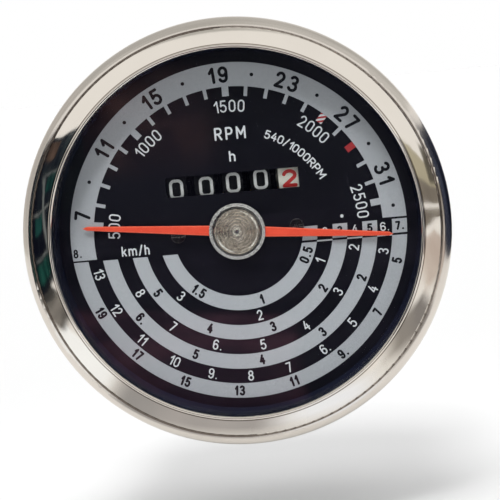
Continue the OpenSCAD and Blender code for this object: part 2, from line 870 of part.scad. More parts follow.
module carry_pinion_units() {
    color(white_plastic) carry_pinion(1);
}

module carry_pinion_tens() {
    color(white_plastic) carry_pinion(2);
}

module carry_pinion_hundreds() {
    color(white_plastic) carry_pinion(3);
}

module carry_pinion_thousands() {
    color(white_plastic) carry_pinion(4);
}

// Wheel of the last worm, with the tube and disc of the slipping clutch
module counter_worm_wheel() {
    clutch_x = drum_x + hub_stack_half + plate_gap;
    color(brass) upright() translate([0, counter_y, counter_z]) difference() {
        union() {
            translate([upright_x, 0, 0]) rotate([0, 0, 90]) rotate([90, 0, 0])
                worm_wheel(wheel_3_teeth, wheel_3_r, shaft_r);
            cross_rod(clutch_tube_r, clutch_x, upright_x + wheel_w / 2);
            cross_rod(clutch_disc_r, clutch_x, clutch_x + clutch_t);
        }
        cross_rod(shaft_r + run_gap, clutch_x - 1, upright_x + wheel_w);
    }
}

// Shaft from the base plate to the counter, with the last worm at its front end
module upright_shaft() {
    color(steel) upright() translate([upright_x, upright_y]) {
        rod(gear_shaft_r, base_back + 0.3, counter_z + worm_len / 2 + 1);
        translate([0, 0, counter_z]) rotate([0, 0, -90]) worm_thread();
        rod(gear_shaft_r + 0.6, bridge_front + 0.1, bridge_front + 1.1);
    }
}

module upright_worm_wheel() {
    color(brass) upright() translate([upright_x, upright_y, cross_z]) {
        rotate([0, 0, -90]) worm_wheel(wheel_2_teeth, wheel_2_r, gear_shaft_r);
        tube(gear_shaft_r + 1.2, gear_shaft_r, wheel_w / 2, wheel_w / 2 + 1.5);
    }
}

// Shaft across the movement, with the second worm under the upright shaft
module cross_shaft() {
    color(steel) upright() translate([0, cross_y, cross_z]) {
        cross_rod(gear_shaft_r, bracket_left_x - 0.5, bracket_right_x + bracket_t + 0.5);
        translate([upright_x, 0, 0]) rotate([0, 90, 0]) rotate([0, 0, 90]) worm_thread();
        cross_rod(gear_shaft_r + 0.8, bracket_left_x + bracket_t + 0.1, bracket_left_x + bracket_t + 1.3);
    }
}

module cross_worm_wheel() {
    color(brass) upright() translate([0, cross_y, cross_z]) rotate([0, 0, -90]) rotate([90, 0, 0]) {
        worm_wheel(wheel_1_teeth, wheel_1_r, gear_shaft_r);
        tube(gear_shaft_r + 1.2, gear_shaft_r, wheel_w / 2, wheel_w / 2 + 1.5);
    }
}

// Angle bracket on the base plate: x0 is its left face, side is where its foot points
module cross_bracket(x0, side) {
    foot_x = side > 0 ? x0 + bracket_t : x0 - bracket_foot;
    difference() {
        union() {
            block([x0, cross_y - bracket_half_w, base_front],
                [x0 + bracket_t, cross_y + bracket_half_w, cross_z]);
            intersection() {
                translate([0, cross_y, cross_z]) cross_rod(bracket_half_w, x0, x0 + bracket_t);
                block([x0, cross_y - bracket_half_w, cross_z - 1],
                    [x0 + bracket_t, cross_y + bracket_half_w, cross_z + bracket_half_w]);
            }
            block([foot_x, cross_y - bracket_half_w, base_front],
                [foot_x + bracket_foot, cross_y + bracket_half_w, base_front + bracket_foot_t]);
        }
        translate([0, cross_y, cross_z]) cross_rod(gear_shaft_r + run_gap, x0 - 1, x0 + bracket_t + 1);
        drill([foot_x + bracket_foot / 2, cross_y], plate_screw_r + slip, base_front,
            base_front + bracket_foot_t);
    }
}

module cross_bracket_left() {
    color(zinc) upright() cross_bracket(bracket_left_x, -1);
}

module cross_bracket_right() {
    color(zinc) upright() cross_bracket(bracket_right_x, 1);
}

module cross_bracket_screws() {
    color(steel) upright() for (p = bracket_screw_places)
        translate([p[0], p[1], base_front + bracket_foot_t])
            slotted_screw(plate_screw_r, bracket_foot_t + base_t, bracket_screw_head_r,
                small_screw_head_h);
}

// Input spindle with the first worm, a square socket behind and a pivot hole in front
module drive_spindle() {
    color(steel) upright() difference() {
        union() {
            rod(drive_r, drive_back, magnet_front);
            translate([0, 0, cross_z]) rotate([0, 0, 90]) worm_thread();
        }
        block([-socket_w / 2, -socket_w / 2, drive_back - 1], [socket_w / 2, socket_w / 2, drive_back + 6]);
        rod(spindle_r + 0.05, magnet_front - 3, magnet_front + 1);
    }
}

module drive_magnet() {
    color([0.30, 0.30, 0.33]) upright() tube(magnet_r, drive_r, magnet_back, magnet_front);
}

module drive_bush() {
    color(brass) upright() tube(drive_bush_r, drive_r + run_gap, cavity_z, base_front);
}

// Threaded connector of the flexible drive, with a spigot through case and base plate
module drive_connector() {
    color(zinc) upright() difference() {
        union() {
            rod(spigot_r, thread_z, base_front);
            translate([0, 0, thread_z]) cylinder(r = collar_w / sqrt(3), h = collar_t, $fn = 6);
            rod(connector_d / 2, connector_back, thread_z + eps);
        }
        rod(drive_bush_r, cavity_z, base_front + 1);
        rod(cavity_d / 2, connector_back - 1, cavity_z);
    }
}

module connector_washer() {
    color(rubber) upright() tube(collar_w / 2, spigot_r + slip, case_back - washer_t, case_back);
}

// Two studs for the clamp of the panel, pressed into the back wall by their necks
module mounting_studs() {
    color(steel) upright() for (s = [-1, 1]) translate([s * stud_x, 0]) {
        rod(stud_d / 2, case_back - stud_len, case_back);
        rod(stud_neck_r, case_back, base_back);
        rod(stud_head_r, base_back, base_back + stud_head_t);
    }
}

// Push in lamp holders with a grip and two contacts
module lamp_holders() {
    color(black_plastic) upright() for (p = lamp_places) translate([p[0], p[1]]) {
        rod(lamp_r, case_back - lamp_rim, base_front + lamp_inside);
        rod(lamp_r + lamp_rim, case_back - lamp_rim, case_back);
        rod(lamp_r - lamp_rim, case_back - lamp_grip_len, case_back);
        for (s = [-1, 1])
            block([s * lamp_contact_x - lamp_contact_half[0], -lamp_contact_half[1],
                    case_back - lamp_contact_len],
                [s * lamp_contact_x + lamp_contact_half[0], lamp_contact_half[1],
                    case_back - lamp_grip_len + 1]);
    }
}

// Wedge base bulbs in the holders
module lamp_bulbs() {
    bulb_z = base_front + lamp_inside;
    color([0.95, 0.93, 0.85, 0.6]) upright() for (p = lamp_places) translate([p[0], p[1], bulb_z]) {
        rod(lamp_base_r, 0, bulb_neck + 1);
        rod(bulb_r, bulb_neck, bulb_len);
        translate([0, 0, bulb_len]) sphere(r = bulb_r);
    }
}

// Spade terminal for the earth lead
module earth_tab() {
    half_w = earth_tab_w / 2;
    color(zinc) upright() difference() {
        union() {
            block([-half_w, earth_y - earth_foot, case_back - earth_t],
                [half_w, earth_y + earth_foot, case_back]);
            block([-half_w, earth_y + earth_foot - earth_t, case_back - earth_spade_len],
                [half_w, earth_y + earth_foot, case_back]);
        }
        drill([0, earth_y], earth_screw_r + slip, case_back - earth_t, case_back);
        translate([0, earth_y + earth_foot, case_back - 0.7 * earth_spade_len]) rotate([90, 0, 0])
            cylinder(r = earth_hole_r, h = 4 * earth_t, center = true);
    }
}

module earth_screw() {
    color(steel) upright() translate([0, earth_y, case_back - earth_t]) mirror([0, 0, 1])
        slotted_screw(earth_screw_r, case_t + earth_t + earth_screw_reach, earth_screw_head_r,
            earth_screw_head_h);
}

bezel();
glass();
glass_gasket();
trim_ring();
case_seal();
case();
dial_plate();
dial_screws();
dial_pillars();
pointer_blade();
pointer_hub();
pointer_spindle();
drag_cup();
hairspring();
hairspring_stud();
pointer_bush();
field_ring();
top_bridge();
bridge_screws();
frame_pillars();
base_plate();
movement_screws();
counter_plate_left();
counter_plate_right();
counter_plate_screws();
counter_shaft();
carry_pinion_shaft();
digit_wheel_tenths();
digit_wheel_units();
digit_wheel_tens();
digit_wheel_hundreds();
digit_wheel_thousands();
carry_pinion_units();
carry_pinion_tens();
carry_pinion_hundreds();
carry_pinion_thousands();
counter_worm_wheel();
upright_shaft();
upright_worm_wheel();
cross_shaft();
cross_worm_wheel();
cross_bracket_left();
cross_bracket_right();
cross_bracket_screws();
drive_spindle();
drive_magnet();
drive_bush();
drive_connector();
connector_washer();
mounting_studs();
lamp_holders();
lamp_bulbs();
earth_tab();
earth_screw();
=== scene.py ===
import math

import bmesh
import bpy
from mathutils import Matrix, Vector
from mathutils.geometry import delaunay_2d_cdt


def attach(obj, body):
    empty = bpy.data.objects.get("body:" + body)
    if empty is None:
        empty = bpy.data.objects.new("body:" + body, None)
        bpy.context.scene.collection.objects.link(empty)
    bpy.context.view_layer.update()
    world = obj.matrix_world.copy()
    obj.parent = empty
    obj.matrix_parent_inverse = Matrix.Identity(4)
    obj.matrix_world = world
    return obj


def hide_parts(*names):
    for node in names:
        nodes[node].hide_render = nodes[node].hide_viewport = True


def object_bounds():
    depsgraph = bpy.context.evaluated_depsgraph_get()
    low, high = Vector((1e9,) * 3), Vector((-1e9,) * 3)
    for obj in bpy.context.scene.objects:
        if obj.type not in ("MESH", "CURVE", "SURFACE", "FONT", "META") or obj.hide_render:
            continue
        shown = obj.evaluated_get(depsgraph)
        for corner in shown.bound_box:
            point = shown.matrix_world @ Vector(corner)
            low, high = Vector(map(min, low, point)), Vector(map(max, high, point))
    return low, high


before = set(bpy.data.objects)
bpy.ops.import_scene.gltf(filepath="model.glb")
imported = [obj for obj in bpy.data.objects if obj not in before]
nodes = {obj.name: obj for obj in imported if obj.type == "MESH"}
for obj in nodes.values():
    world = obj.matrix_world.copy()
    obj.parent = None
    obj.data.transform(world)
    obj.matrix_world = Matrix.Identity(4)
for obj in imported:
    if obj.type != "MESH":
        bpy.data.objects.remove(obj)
cad_box = [list(corner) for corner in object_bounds()]
scene = bpy.context.scene

# Camera. It stands a little to the right of the dial's axis and above it, at arm's length,
# and the dial is turned slightly anticlockwise in the picture.
# Places on the dial are in mm: x right, y up, z out of the dial, with z = 0 at the panel.
camera_azimuth, camera_elevation = 3.447, 5.961
camera_roll = math.radians(-5.221)
camera_distance = 520.5
camera_aim = Vector((2.895, -5.480, 0.0))
picture_angle = math.radians(14.798)
mm_per_metre = 1000.0


def stand(place):
    """A place or direction on the dial, in the part's own axes."""
    return Vector((place[0], -place[2], place[1]))


def from_side(azimuth, elevation):
    """A direction on the dial: azimuth 0 is in front of it, 90 on its right, 180 behind it."""
    a, e = math.radians(azimuth), math.radians(elevation)
    return Vector((math.sin(a) * math.cos(e), math.sin(e), math.cos(a) * math.cos(e)))


def add_object(name, data):
    """A new object of the scene that holds a mesh, a lamp or the camera."""
    holder = bpy.data.objects.new(name, data)
    scene.collection.objects.link(holder)
    return holder


toward_camera = from_side(camera_azimuth, camera_elevation)
level = from_side(camera_azimuth + 90, 0)
right = math.cos(camera_roll) * level + math.sin(camera_roll) * toward_camera.cross(level)
above = toward_camera.cross(right)
axes = Matrix([stand(right), stand(above), stand(toward_camera)]).transposed()
eye = stand(camera_aim + camera_distance * toward_camera) / mm_per_metre
camera_data = bpy.data.cameras.new("camera")
camera_data.sensor_fit = "HORIZONTAL"
camera_data.angle = picture_angle
camera = add_object("camera", camera_data)
camera.matrix_world = Matrix.Translation(eye) @ axes.to_4x4()
scene.camera = camera
scene.view_settings.view_transform = "Standard"

# Floor, world and lamps. The gauge hangs a little above a white table in even light, as it
# seems to in the photograph. A broad soft lamp over it and a smaller one above the camera throw
# its shadows on the table and light the dial, and gloss doesn't mirror them.
floor_half = 6.0
floor_drop = 0.025
floor_height = cad_box[0][2] - floor_drop
floor_white, floor_glow = 0.50, 0.27
sky_light = 0.42


def add_node(tree, kind, inputs=(), **settings):
    """A node with some sockets filled: each value is a number, a colour or another socket."""
    node = tree.nodes.new(kind)
    for key, value in settings.items():
        setattr(node, key, value)
    for key, value in dict(inputs).items():
        if isinstance(value, bpy.types.NodeSocket):
            tree.links.new(value, node.inputs[key])
        else:
            node.inputs[key].default_value = value
    return node


def calculate(tree, operation, a, b=0.0, c=0.0):
    """The result socket of a Math node."""
    return add_node(tree, "ShaderNodeMath", {0: a, 1: b, 2: c}, operation=operation).outputs[0]


def times(tree, a, b):
    """The product of two values."""
    return calculate(tree, "MULTIPLY", a, b)


def ramp(tree, value, low=0.0, high=1.0, out_low=0.0, out_high=1.0, kind="LINEAR"):
    """Runs from out_low to out_high while the value runs from low to high."""
    return add_node(tree, "ShaderNodeMapRange", {
        "Value": value, "From Min": low, "From Max": high, "To Min": out_low, "To Max": out_high},
        interpolation_type=kind).outputs[0]


def in_view(tree):
    """1 for the rays that show a backdrop: to the camera, or by way of gloss or glass."""
    rays = add_node(tree, "ShaderNodeLightPath").outputs
    mirrored = calculate(tree, "MAXIMUM", rays["Is Glossy Ray"], rays["Is Transmission Ray"])
    return calculate(tree, "MAXIMUM", rays["Is Camera Ray"], mirrored)


def new_finish(name, **values):
    """A material with its plain values on its own Principled sockets, its tree and its shader."""
    material = bpy.data.materials.new(name)
    material.use_nodes = True
    principled = material.node_tree.nodes["Principled BSDF"]
    for key, value in values.items():
        principled.inputs[key.replace("_", " ").title().replace("Ior", "IOR")].default_value = value
    return material, material.node_tree, principled


def show(tree, output):
    """Makes the output of a shader the one that its material shows."""
    tree.links.new(output, tree.nodes["Material Output"].inputs["Surface"])


floor_mesh = bpy.data.meshes.new("floor")
floor_mesh.from_pydata(
    [(x * floor_half, y * floor_half, floor_height) for x, y in ((-1, -1), (1, -1), (1, 1), (-1, 1))],
    [], [(0, 1, 2, 3)])
floor = add_object("floor", floor_mesh)
paper, tree, shader = new_finish("white_table", base_color=(floor_white, floor_white, floor_white, 1),
                                 roughness=0.9, specular_ior_level=0.1)
glow = add_node(tree, "ShaderNodeEmission", {
    "Color": (1, 1, 1, 1), "Strength": times(tree, in_view(tree), floor_glow)})
both = add_node(tree, "ShaderNodeAddShader", {0: shader.outputs[0], 1: glow.outputs[0]})
show(tree, both.outputs[0])
floor_mesh.materials.append(paper)

world = bpy.data.worlds.new("studio")
scene.world = world
world.use_nodes = True
tree = world.node_tree
sky = tree.nodes["Background"]
sky.inputs["Color"].default_value = (1, 1, 1, 1)
tree.links.new(ramp(tree, in_view(tree), out_low=sky_light), sky.inputs["Strength"])


def add_lamp(name, kind, power, way, **settings):
    """A lamp that shines from a direction on the dial."""
    light = bpy.data.lights.new(name, kind)
    light.energy = power
    for key, value in settings.items():
        setattr(light, key, value)
    holder = add_object(name, light)
    holder.rotation_euler = stand(-way).to_track_quat("-Z", "Y").to_euler()
    holder.visible_glossy = False
    return holder


add_lamp("over_sun", "SUN", 1.66, from_side(-175.7, 75), angle=math.radians(59))
add_lamp("front_sun", "SUN", 1.85, from_side(-9, 60), angle=math.radians(22))
lamp_distance = 900
lamp_place = from_side(-13, 50) * lamp_distance
lamp_aim = Vector((-7, -12, 0))
dial_lamp = add_lamp("dial_lamp", "SPOT", 17.0, lamp_place - lamp_aim, spot_size=math.radians(13.5),
                     spot_blend=1.0, shadow_soft_size=0.12)
dial_lamp.location = stand(lamp_place) / mm_per_metre

# Cards round the gauge. Only gloss shows them, and they light nothing: the dark room and table
# that the glass mirrors, the boards and stripes in the polished bezel, the wall and ceiling.
board_foot, board_top = -57.0, 84
table_level = mm_per_metre * floor_height + 1
stripe_tones = (0.19, 0.17, 0.15), (0.26, 0.24, 0.21)


def window(tree, value, low, high, out_low=0.0, out_high=1.0):
    """A smooth step of a value from out_low to out_high between low and high."""
    return ramp(tree, value, low, high, out_low, out_high, "SMOOTHSTEP")


def blend_colours(tree, factor, a, b):
    """The colour between a and b; each is three numbers or a socket."""
    a, b = ((*c, 1) if isinstance(c, tuple) else c for c in (a, b))
    return add_node(tree, "ShaderNodeMix", {"Factor": factor, "A": a, "B": b}, data_type="RGBA").outputs[2]


def noise_at(tree, place, scale, detail=2.0):
    """A cloudy noise from 0 to 1; scale is in spots per unit of place."""
    noise = add_node(tree, "ShaderNodeTexNoise", {"Vector": place, "Scale": scale, "Detail": detail})
    return noise.outputs[0]


def add_card(name, corners, dark, light, streak, soft=0.0):
    """A card with its corners at places on the dial. Its tone runs from dark to light in
    streaks; streak is their number in each metre across, through and up, and soft is the
    share of the card over which its edges fade."""
    mesh = bpy.data.meshes.new(name)
    mesh.from_pydata([stand(corner) / mm_per_metre for corner in corners], [], [(0, 1, 2, 3)])
    spread = mesh.uv_layers.new(name="spread")
    for corner, place in zip(spread.data, ((0, 0), (1, 0), (1, 1), (0, 1))):
        corner.uv = place
    card = add_object(name, mesh)
    card.visible_camera = False
    card.visible_diffuse = False
    card.visible_shadow = False
    material, tree, principled = new_finish(name)
    tree.nodes.remove(principled)
    spot = add_node(tree, "ShaderNodeTexCoord").outputs
    stretched = add_node(tree, "ShaderNodeMapping", {"Vector": spot["Object"], "Scale": streak})
    streaks = ramp(tree, noise_at(tree, stretched.outputs[0], 1.0, 3.0), 0.42, 0.66)
    tone = blend_colours(tree, streaks, dark, light)
    lit = add_node(tree, "ShaderNodeEmission", {"Color": tone}).outputs[0]
    if soft:
        sides = add_node(tree, "ShaderNodeSeparateXYZ", {"Vector": spot["UV"]}).outputs
        whole = 1.0
        for side in (sides["X"], sides["Y"]):
            inward = calculate(tree, "MINIMUM", side, calculate(tree, "SUBTRACT", 1.0, side))
            whole = times(tree, window(tree, inward, 0.0, soft), whole)
        gone = add_node(tree, "ShaderNodeBsdfTransparent").outputs[0]
        lit = add_node(tree, "ShaderNodeMixShader", {0: whole, 1: gone, 2: lit}).outputs[0]
    show(tree, lit)
    mesh.materials.append(material)


def upright(left, right_edge, bottom, top, depth):
    """Corners of a card that faces the dial."""
    return [(left, bottom, depth), (right_edge, bottom, depth), (right_edge, top, depth), (left, top, depth)]


def side_on(x, back, front, bottom, top):
    """Corners of a card that stands at the side of the gauge."""
    return [(x, bottom, back), (x, bottom, front), (x, top, front), (x, top, back)]


def lying(back, back_left, back_right, front, front_left, front_right, lift=0):
    """Corners of a card that lies on the table, or a little above it."""
    y = table_level + lift
    return [(back_left, y, back), (back_right, y, back), (front_right, y, front), (front_left, y, front)]


add_card("room_card", upright(-300, 120, table_level, 90, 1000),
         (0.006, 0.007, 0.016), (0.05, 0.05, 0.085), (5, 1, 4))
add_card("room_patch", upright(-195, -60, -52, 48, 998),
         (0.10, 0.05, 0.07), (0.46, 0.23, 0.22), (14, 1, 18), 0.35)
add_card("table_card", lying(160, -42, 46, 1000, -300, 130),
         (0.006, 0.006, 0.016), (0.06, 0.05, 0.085), (9, 6, 1))
add_card("table_patch", [(-48, table_level + 1, 165), (12, table_level + 1, 165),
                         (0, table_level + 1, 430), (-185, table_level + 1, 560)],
         (0.12, 0.05, 0.09), (0.46, 0.19, 0.27), (16, 10, 1), 0.12)
add_card("left_board", side_on(-180, 105, 1000, board_foot, board_top),
         (0.005, 0.006, 0.013), (0.035, 0.05, 0.06), (1, 9, 5))
add_card("right_board", side_on(200, -260, 235, board_foot, board_top),
         (0.006, 0.008, 0.018), (0.05, 0.06, 0.10), (1, 5, 7))
add_card("right_olive", upright(140, 290, 4, 40, 370), (0.44, 0.41, 0.31), (0.52, 0.49, 0.38), (4, 1, 9))
add_card("right_stripe", upright(140, 290, -21, 4, 370), *stripe_tones, (4, 1, 9))
add_card("right_stripe_low", upright(140, 290, -45, -27, 370), *stripe_tones, (4, 1, 9))
add_card("right_dark", upright(238, 300, 4, 72, 368),
         (0.05, 0.05, 0.045), (0.14, 0.13, 0.11), (4, 1, 9), 0.15)
add_card("left_wall", side_on(-530, -700, 350, board_foot, 500),
         (0.58, 0.57, 0.56), (0.76, 0.75, 0.73), (1, 2, 2))
add_card("ceiling", [(-900, 500, -700), (900, 500, -700), (900, 500, 820), (-900, 500, 820)],
         (0.56, 0.56, 0.55), (0.74, 0.74, 0.73), (2, 2, 1))

# Low cards lie on the table, each 1 mm above the one before: back, front, left and right edge,
# the two tones, the streaks and how soft the edges are.
low_cards = [
    ("low_grey", 26, 150, -86, 18, (0.40, 0.40, 0.41), (0.50, 0.49, 0.50), (20, 1, 20), 0.22),
    ("low_light_right", 30, 112, -4, 64, (1.05, 1.12, 1.24), (1.15, 1.22, 1.34), (8, 1, 8), 0.4),
    ("low_light_left", 52, 215, -160, -70, (1.10, 1.16, 1.22), (1.20, 1.27, 1.34), (8, 1, 8), 0.16),
    ("low_grey_right", 56, 230, 52, 142, (0.28, 0.27, 0.27), (0.42, 0.40, 0.37), (12, 1, 12), 0.28),
    ("low_shade_left", 130, 380, -270, -138, (0.05, 0.05, 0.05), (0.40, 0.38, 0.36), (14, 1, 6), 0.12),
    ("low_shade_right", 150, 560, 118, 320, (0.62, 0.54, 0.50), (0.80, 0.74, 0.70), (9, 1, 6), 0.15),
]
for lift, (name, back, front, left, right_edge, *look) in enumerate(low_cards):
    add_card(name, lying(back, left, right_edge, front, left, right_edge, lift), *look)

# A frame with dim green and brown panes and pale bars stands in front of the left board.
frame_x = -178.0
panes = [
    ("pane_top", 180, 262, 57, 80, (0.045, 0.032, 0.028), (0.13, 0.09, 0.075)),
    ("pane_upper", 235, 335, 22, 41, (0.006, 0.025, 0.026), (0.014, 0.065, 0.060)),
    ("pane_middle", 165, 255, -9, 8, (0.006, 0.03, 0.032), (0.016, 0.075, 0.072)),
    ("pane_lower", 150, 330, -50, -31, (0.006, 0.03, 0.028), (0.016, 0.085, 0.072)),
]
for name, back, front, bottom, top, dark, light in panes:
    add_card(name, side_on(frame_x - 1, back, front, bottom, top), dark, light, (1, 30, 30), 0.12)
# For each bar the height and depth of its two ends, and how far it reaches up and in to each side
bars = [
    ("bar_upper", (45, 190), (35, 400), (1.2, 0)),
    ("bar_middle", (10, 150), (8, 400), (1.2, 0)),
    ("bar_lower", (-28, 150), (-30, 340), (1.2, 0)),
    ("bar_slanted", (46, 192), (-36, 312), (0, 13)),
]
for name, back, front, (half_high, half_deep) in bars:
    corners = [(frame_x, y + side * half_high, depth + side * half_deep)
               for (y, depth), side in ((back, -1), (back, 1), (front, 1), (front, -1))]
    add_card(name, corners, (0.13, 0.15, 0.16), (0.21, 0.23, 0.24), (1, 20, 20), 0.10)

# Bezel. One ring spun from chromed steel sheet: a bead round the glass, a polished band, a
# groove, and a satin roll whose hem grips the case. Its CAD solid has the finished shape.
groove_radius = 54.7
bead_outside = 50.35


def add_group(name, inputs, output):
    """An empty group of shader nodes, with its sockets to read from and to fill: each input is
    a name and a value."""
    group = bpy.data.node_groups.new(name, "ShaderNodeTree")
    for socket_name, value in inputs:
        socket = group.interface.new_socket(name=socket_name, in_out="INPUT", socket_type="NodeSocketFloat")
        socket.default_value = value
    group.interface.new_socket(name=output, in_out="OUTPUT", socket_type="NodeSocketFloat")
    return group, group.nodes.new("NodeGroupInput").outputs, group.nodes.new("NodeGroupOutput").inputs


def on_piece(tree):
    """The place on the piece, in metres."""
    return add_node(tree, "ShaderNodeTexCoord").outputs["Object"]


# Mottle: a cloud of light and dark between two values; Scale is in spots per mm.
mottle, given, made = add_group(
    "mottle", [("Scale", 1.0), ("Contrast", 1.0), ("Low", 0.0), ("High", 1.0)], "Value")
noise = noise_at(mottle, on_piece(mottle), times(mottle, given["Scale"], mm_per_metre), 4.0)
half = calculate(mottle, "DIVIDE", 0.25, given["Contrast"])
spread = ramp(mottle, noise, calculate(mottle, "SUBTRACT", 0.5, half), calculate(mottle, "ADD", 0.5, half),
              given["Low"], given["High"])
mottle.links.new(spread, made["Value"])

# Radius: the distance in mm from the dial's axis.
from_axis, given, made = add_group("radius", [], "Radius")
parts = add_node(from_axis, "ShaderNodeSeparateXYZ", {"Vector": on_piece(from_axis)}).outputs
flat = add_node(from_axis, "ShaderNodeCombineXYZ", {"X": parts["X"], "Z": parts["Z"]})
length = add_node(from_axis, "ShaderNodeVectorMath", {0: flat.outputs[0]}, operation="LENGTH")
from_axis.links.new(times(from_axis, length.outputs["Value"], mm_per_metre), made["Radius"])

# Turned: fine rings left by a lathe tool round the dial's axis; Pitch is in mm.
turned, given, made = add_group("turned", [("Pitch", 0.3), ("Waver", 0.5)], "Rings")
radius = add_node(turned, "ShaderNodeGroup", node_tree=from_axis).outputs["Radius"]
waver = times(turned, noise_at(turned, on_piece(turned), 900.0, 3.0), given["Waver"])
bent = calculate(turned, "ADD", radius, times(turned, waver, given["Pitch"]))
wave = calculate(turned, "SINE", calculate(turned, "DIVIDE", times(turned, bent, math.tau), given["Pitch"]))
turned.links.new(calculate(turned, "MULTIPLY_ADD", wave, 0.5, 0.5), made["Rings"])


def use(tree, group, output, **inputs):
    """The named output of a group placed in a material."""
    names = {key.title(): value for key, value in inputs.items()}
    return add_node(tree, "ShaderNodeGroup", names, node_tree=group).outputs[output]


def cloudy(tree, scale, contrast=1.0, low=0.0, high=1.0):
    """Mottle placed in a material."""
    return use(tree, mottle, "Value", scale=scale, contrast=contrast, low=low, high=high)


def laid_over(tree, base, mask, share, colour):
    """A colour with a share of another laid over it where a mask says so."""
    return blend_colours(tree, times(tree, mask, share), base, colour)


def ring_mask(tree, radius, rise, fall):
    """1 on a ring round the dial's axis; rise and fall are the radii where its soft inner edge and
    its soft outer edge begin and end."""
    return times(tree, window(tree, radius, *rise), window(tree, radius, *fall, 1.0, 0.0))


def feed(tree, principled, colour=None, roughness=None, height=None, depth=0.0):
    """Links what varies over the surface to the shader; depth is the bump's height in mm."""
    if colour is not None:
        tree.links.new(colour, principled.inputs["Base Color"])
    if roughness is not None:
        tree.links.new(roughness, principled.inputs["Roughness"])
    if height is not None:
        bump = add_node(tree, "ShaderNodeBump", {
            "Height": height, "Distance": depth / mm_per_metre, "Strength": 1.0})
        tree.links.new(bump.outputs[0], principled.inputs["Normal"])


def dress(material, *names):
    """Gives CAD nodes a material."""
    for name in names:
        for material_slot in nodes[name].material_slots:
            material_slot.material = material


chrome, tree, shader = new_finish("chrome_bezel", metallic=1.0)
radius = use(tree, from_axis, "Radius")
on_roll = window(tree, radius, groove_radius - 0.1, groove_radius + 0.2)
in_groove = ring_mask(tree, radius, (groove_radius - 0.30, groove_radius - 0.05),
                      (groove_radius + 0.10, groove_radius + 0.55))
# Painted shade: the colour is darkened in the groove and in the crease beside the bead.
from_bead = calculate(tree, "ABSOLUTE", calculate(tree, "SUBTRACT", radius, bead_outside))
painted_crease_shade = calculate(tree, "MAXIMUM", in_groove, window(tree, from_bead, 0.05, 0.22, 1.0, 0.0))
colour = blend_colours(tree, on_roll, (0.77, 0.715, 0.64), (0.72, 0.665, 0.60))
colour = laid_over(tree, colour, cloudy(tree, 0.09, 1.2), 0.10, (0.50, 0.45, 0.39))
colour = laid_over(tree, colour, painted_crease_shade, 0.80, (0.12, 0.085, 0.06))
rough = ramp(tree, on_roll, out_low=cloudy(tree, 0.3, low=0.035, high=0.075),
             out_high=cloudy(tree, 0.5, low=0.13, high=0.18))
satin = use(tree, turned, "Rings", pitch=0.16, waver=1.5)
scuffs = cloudy(tree, 2.2, 0.9)
height = calculate(tree, "ADD", times(tree, satin, 0.02), times(tree, scuffs, 0.02))
feed(tree, shader, colour, rough, height, 0.01)
dress(chrome, "bezel")

# Glass and rubber. A flat pane of float glass, wrapped at its edge by a moulded rubber ring;
# a second rubber ring lies between the pane's stack and the flange of the case.
glass, tree, shader = new_finish(
    "clear_glass", transmission_weight=1.0, ior=1.46, base_color=(0.97, 0.99, 0.98, 1))
feed(tree, shader, roughness=cloudy(tree, 0.05, high=0.02))
seen = add_node(tree, "ShaderNodeLightPath").outputs
clear = add_node(tree, "ShaderNodeBsdfTransparent", {"Color": (0.96, 0.97, 0.97, 1)})
passing = calculate(tree, "MAXIMUM", seen["Is Shadow Ray"], seen["Is Diffuse Ray"])
mixed = add_node(tree, "ShaderNodeMixShader", {0: passing, 1: shader.outputs[0], 2: clear.outputs[0]})
show(tree, mixed.outputs[0])
dress(glass, "glass")


def two_tone(name, dark, light, rough, gloss=0.4, patch=2.0, contrast=1.0, rough_patch=1.0, relief=0.003):
    """A plain rubber or ink: two tones in patches, its range of roughness and a fine grain.
    Patches are in spots per mm, and relief is in mm."""
    material, tree, principled = new_finish(name, specular_ior_level=gloss)
    feed(tree, principled, blend_colours(tree, cloudy(tree, patch, contrast), dark, light),
         cloudy(tree, rough_patch, low=rough[0], high=rough[1]), cloudy(tree, 4.0), relief)
    return material


rubber = two_tone("black_rubber", (0.010, 0.010, 0.010), (0.030, 0.029, 0.028), (0.55, 0.75),
                  gloss=0.35, patch=0.4, contrast=1.5, rough_patch=1.5, relief=0.02)
dress(rubber, "glass_gasket", "case_seal")

# Trim ring. A moulded ring of glossy black plastic that lines the depth between glass and
# dial. It lies loose on the flange of the case and mirrors the dial a little.

# Dust: sparse pale specks; Scale is in cells per mm, Amount the share of cells with a speck.
dust, given, made = add_group("dust", [("Scale", 0.5), ("Amount", 0.1), ("Size", 0.12)], "Mask")
cells = add_node(dust, "ShaderNodeTexVoronoi", {
    "Vector": on_piece(dust), "Scale": times(dust, given["Scale"], mm_per_metre)}).outputs
dice = add_node(dust, "ShaderNodeSeparateColor", {"Color": cells["Color"]})
chosen = calculate(dust, "LESS_THAN", dice.outputs[0], given["Amount"])
near = ramp(dust, cells["Distance"], 0.0, given["Size"], 1.0, 0.0)
dust.links.new(times(dust, chosen, near), made["Mask"])

gloss_black, tree, shader = new_finish("gloss_black_trim", specular_ior_level=0.32)
specks = use(tree, dust, "Mask", scale=0.35, amount=0.10, size=0.05)
colour = blend_colours(tree, cloudy(tree, 0.08), (0.008, 0.010, 0.020), (0.015, 0.018, 0.038))
feed(tree, shader, laid_over(tree, colour, specks, 0.35, (0.5, 0.5, 0.5)),
     cloudy(tree, 0.6, low=0.04, high=0.09), cloudy(tree, 0.5), 0.02)
dress(gloss_black, "trim_ring")

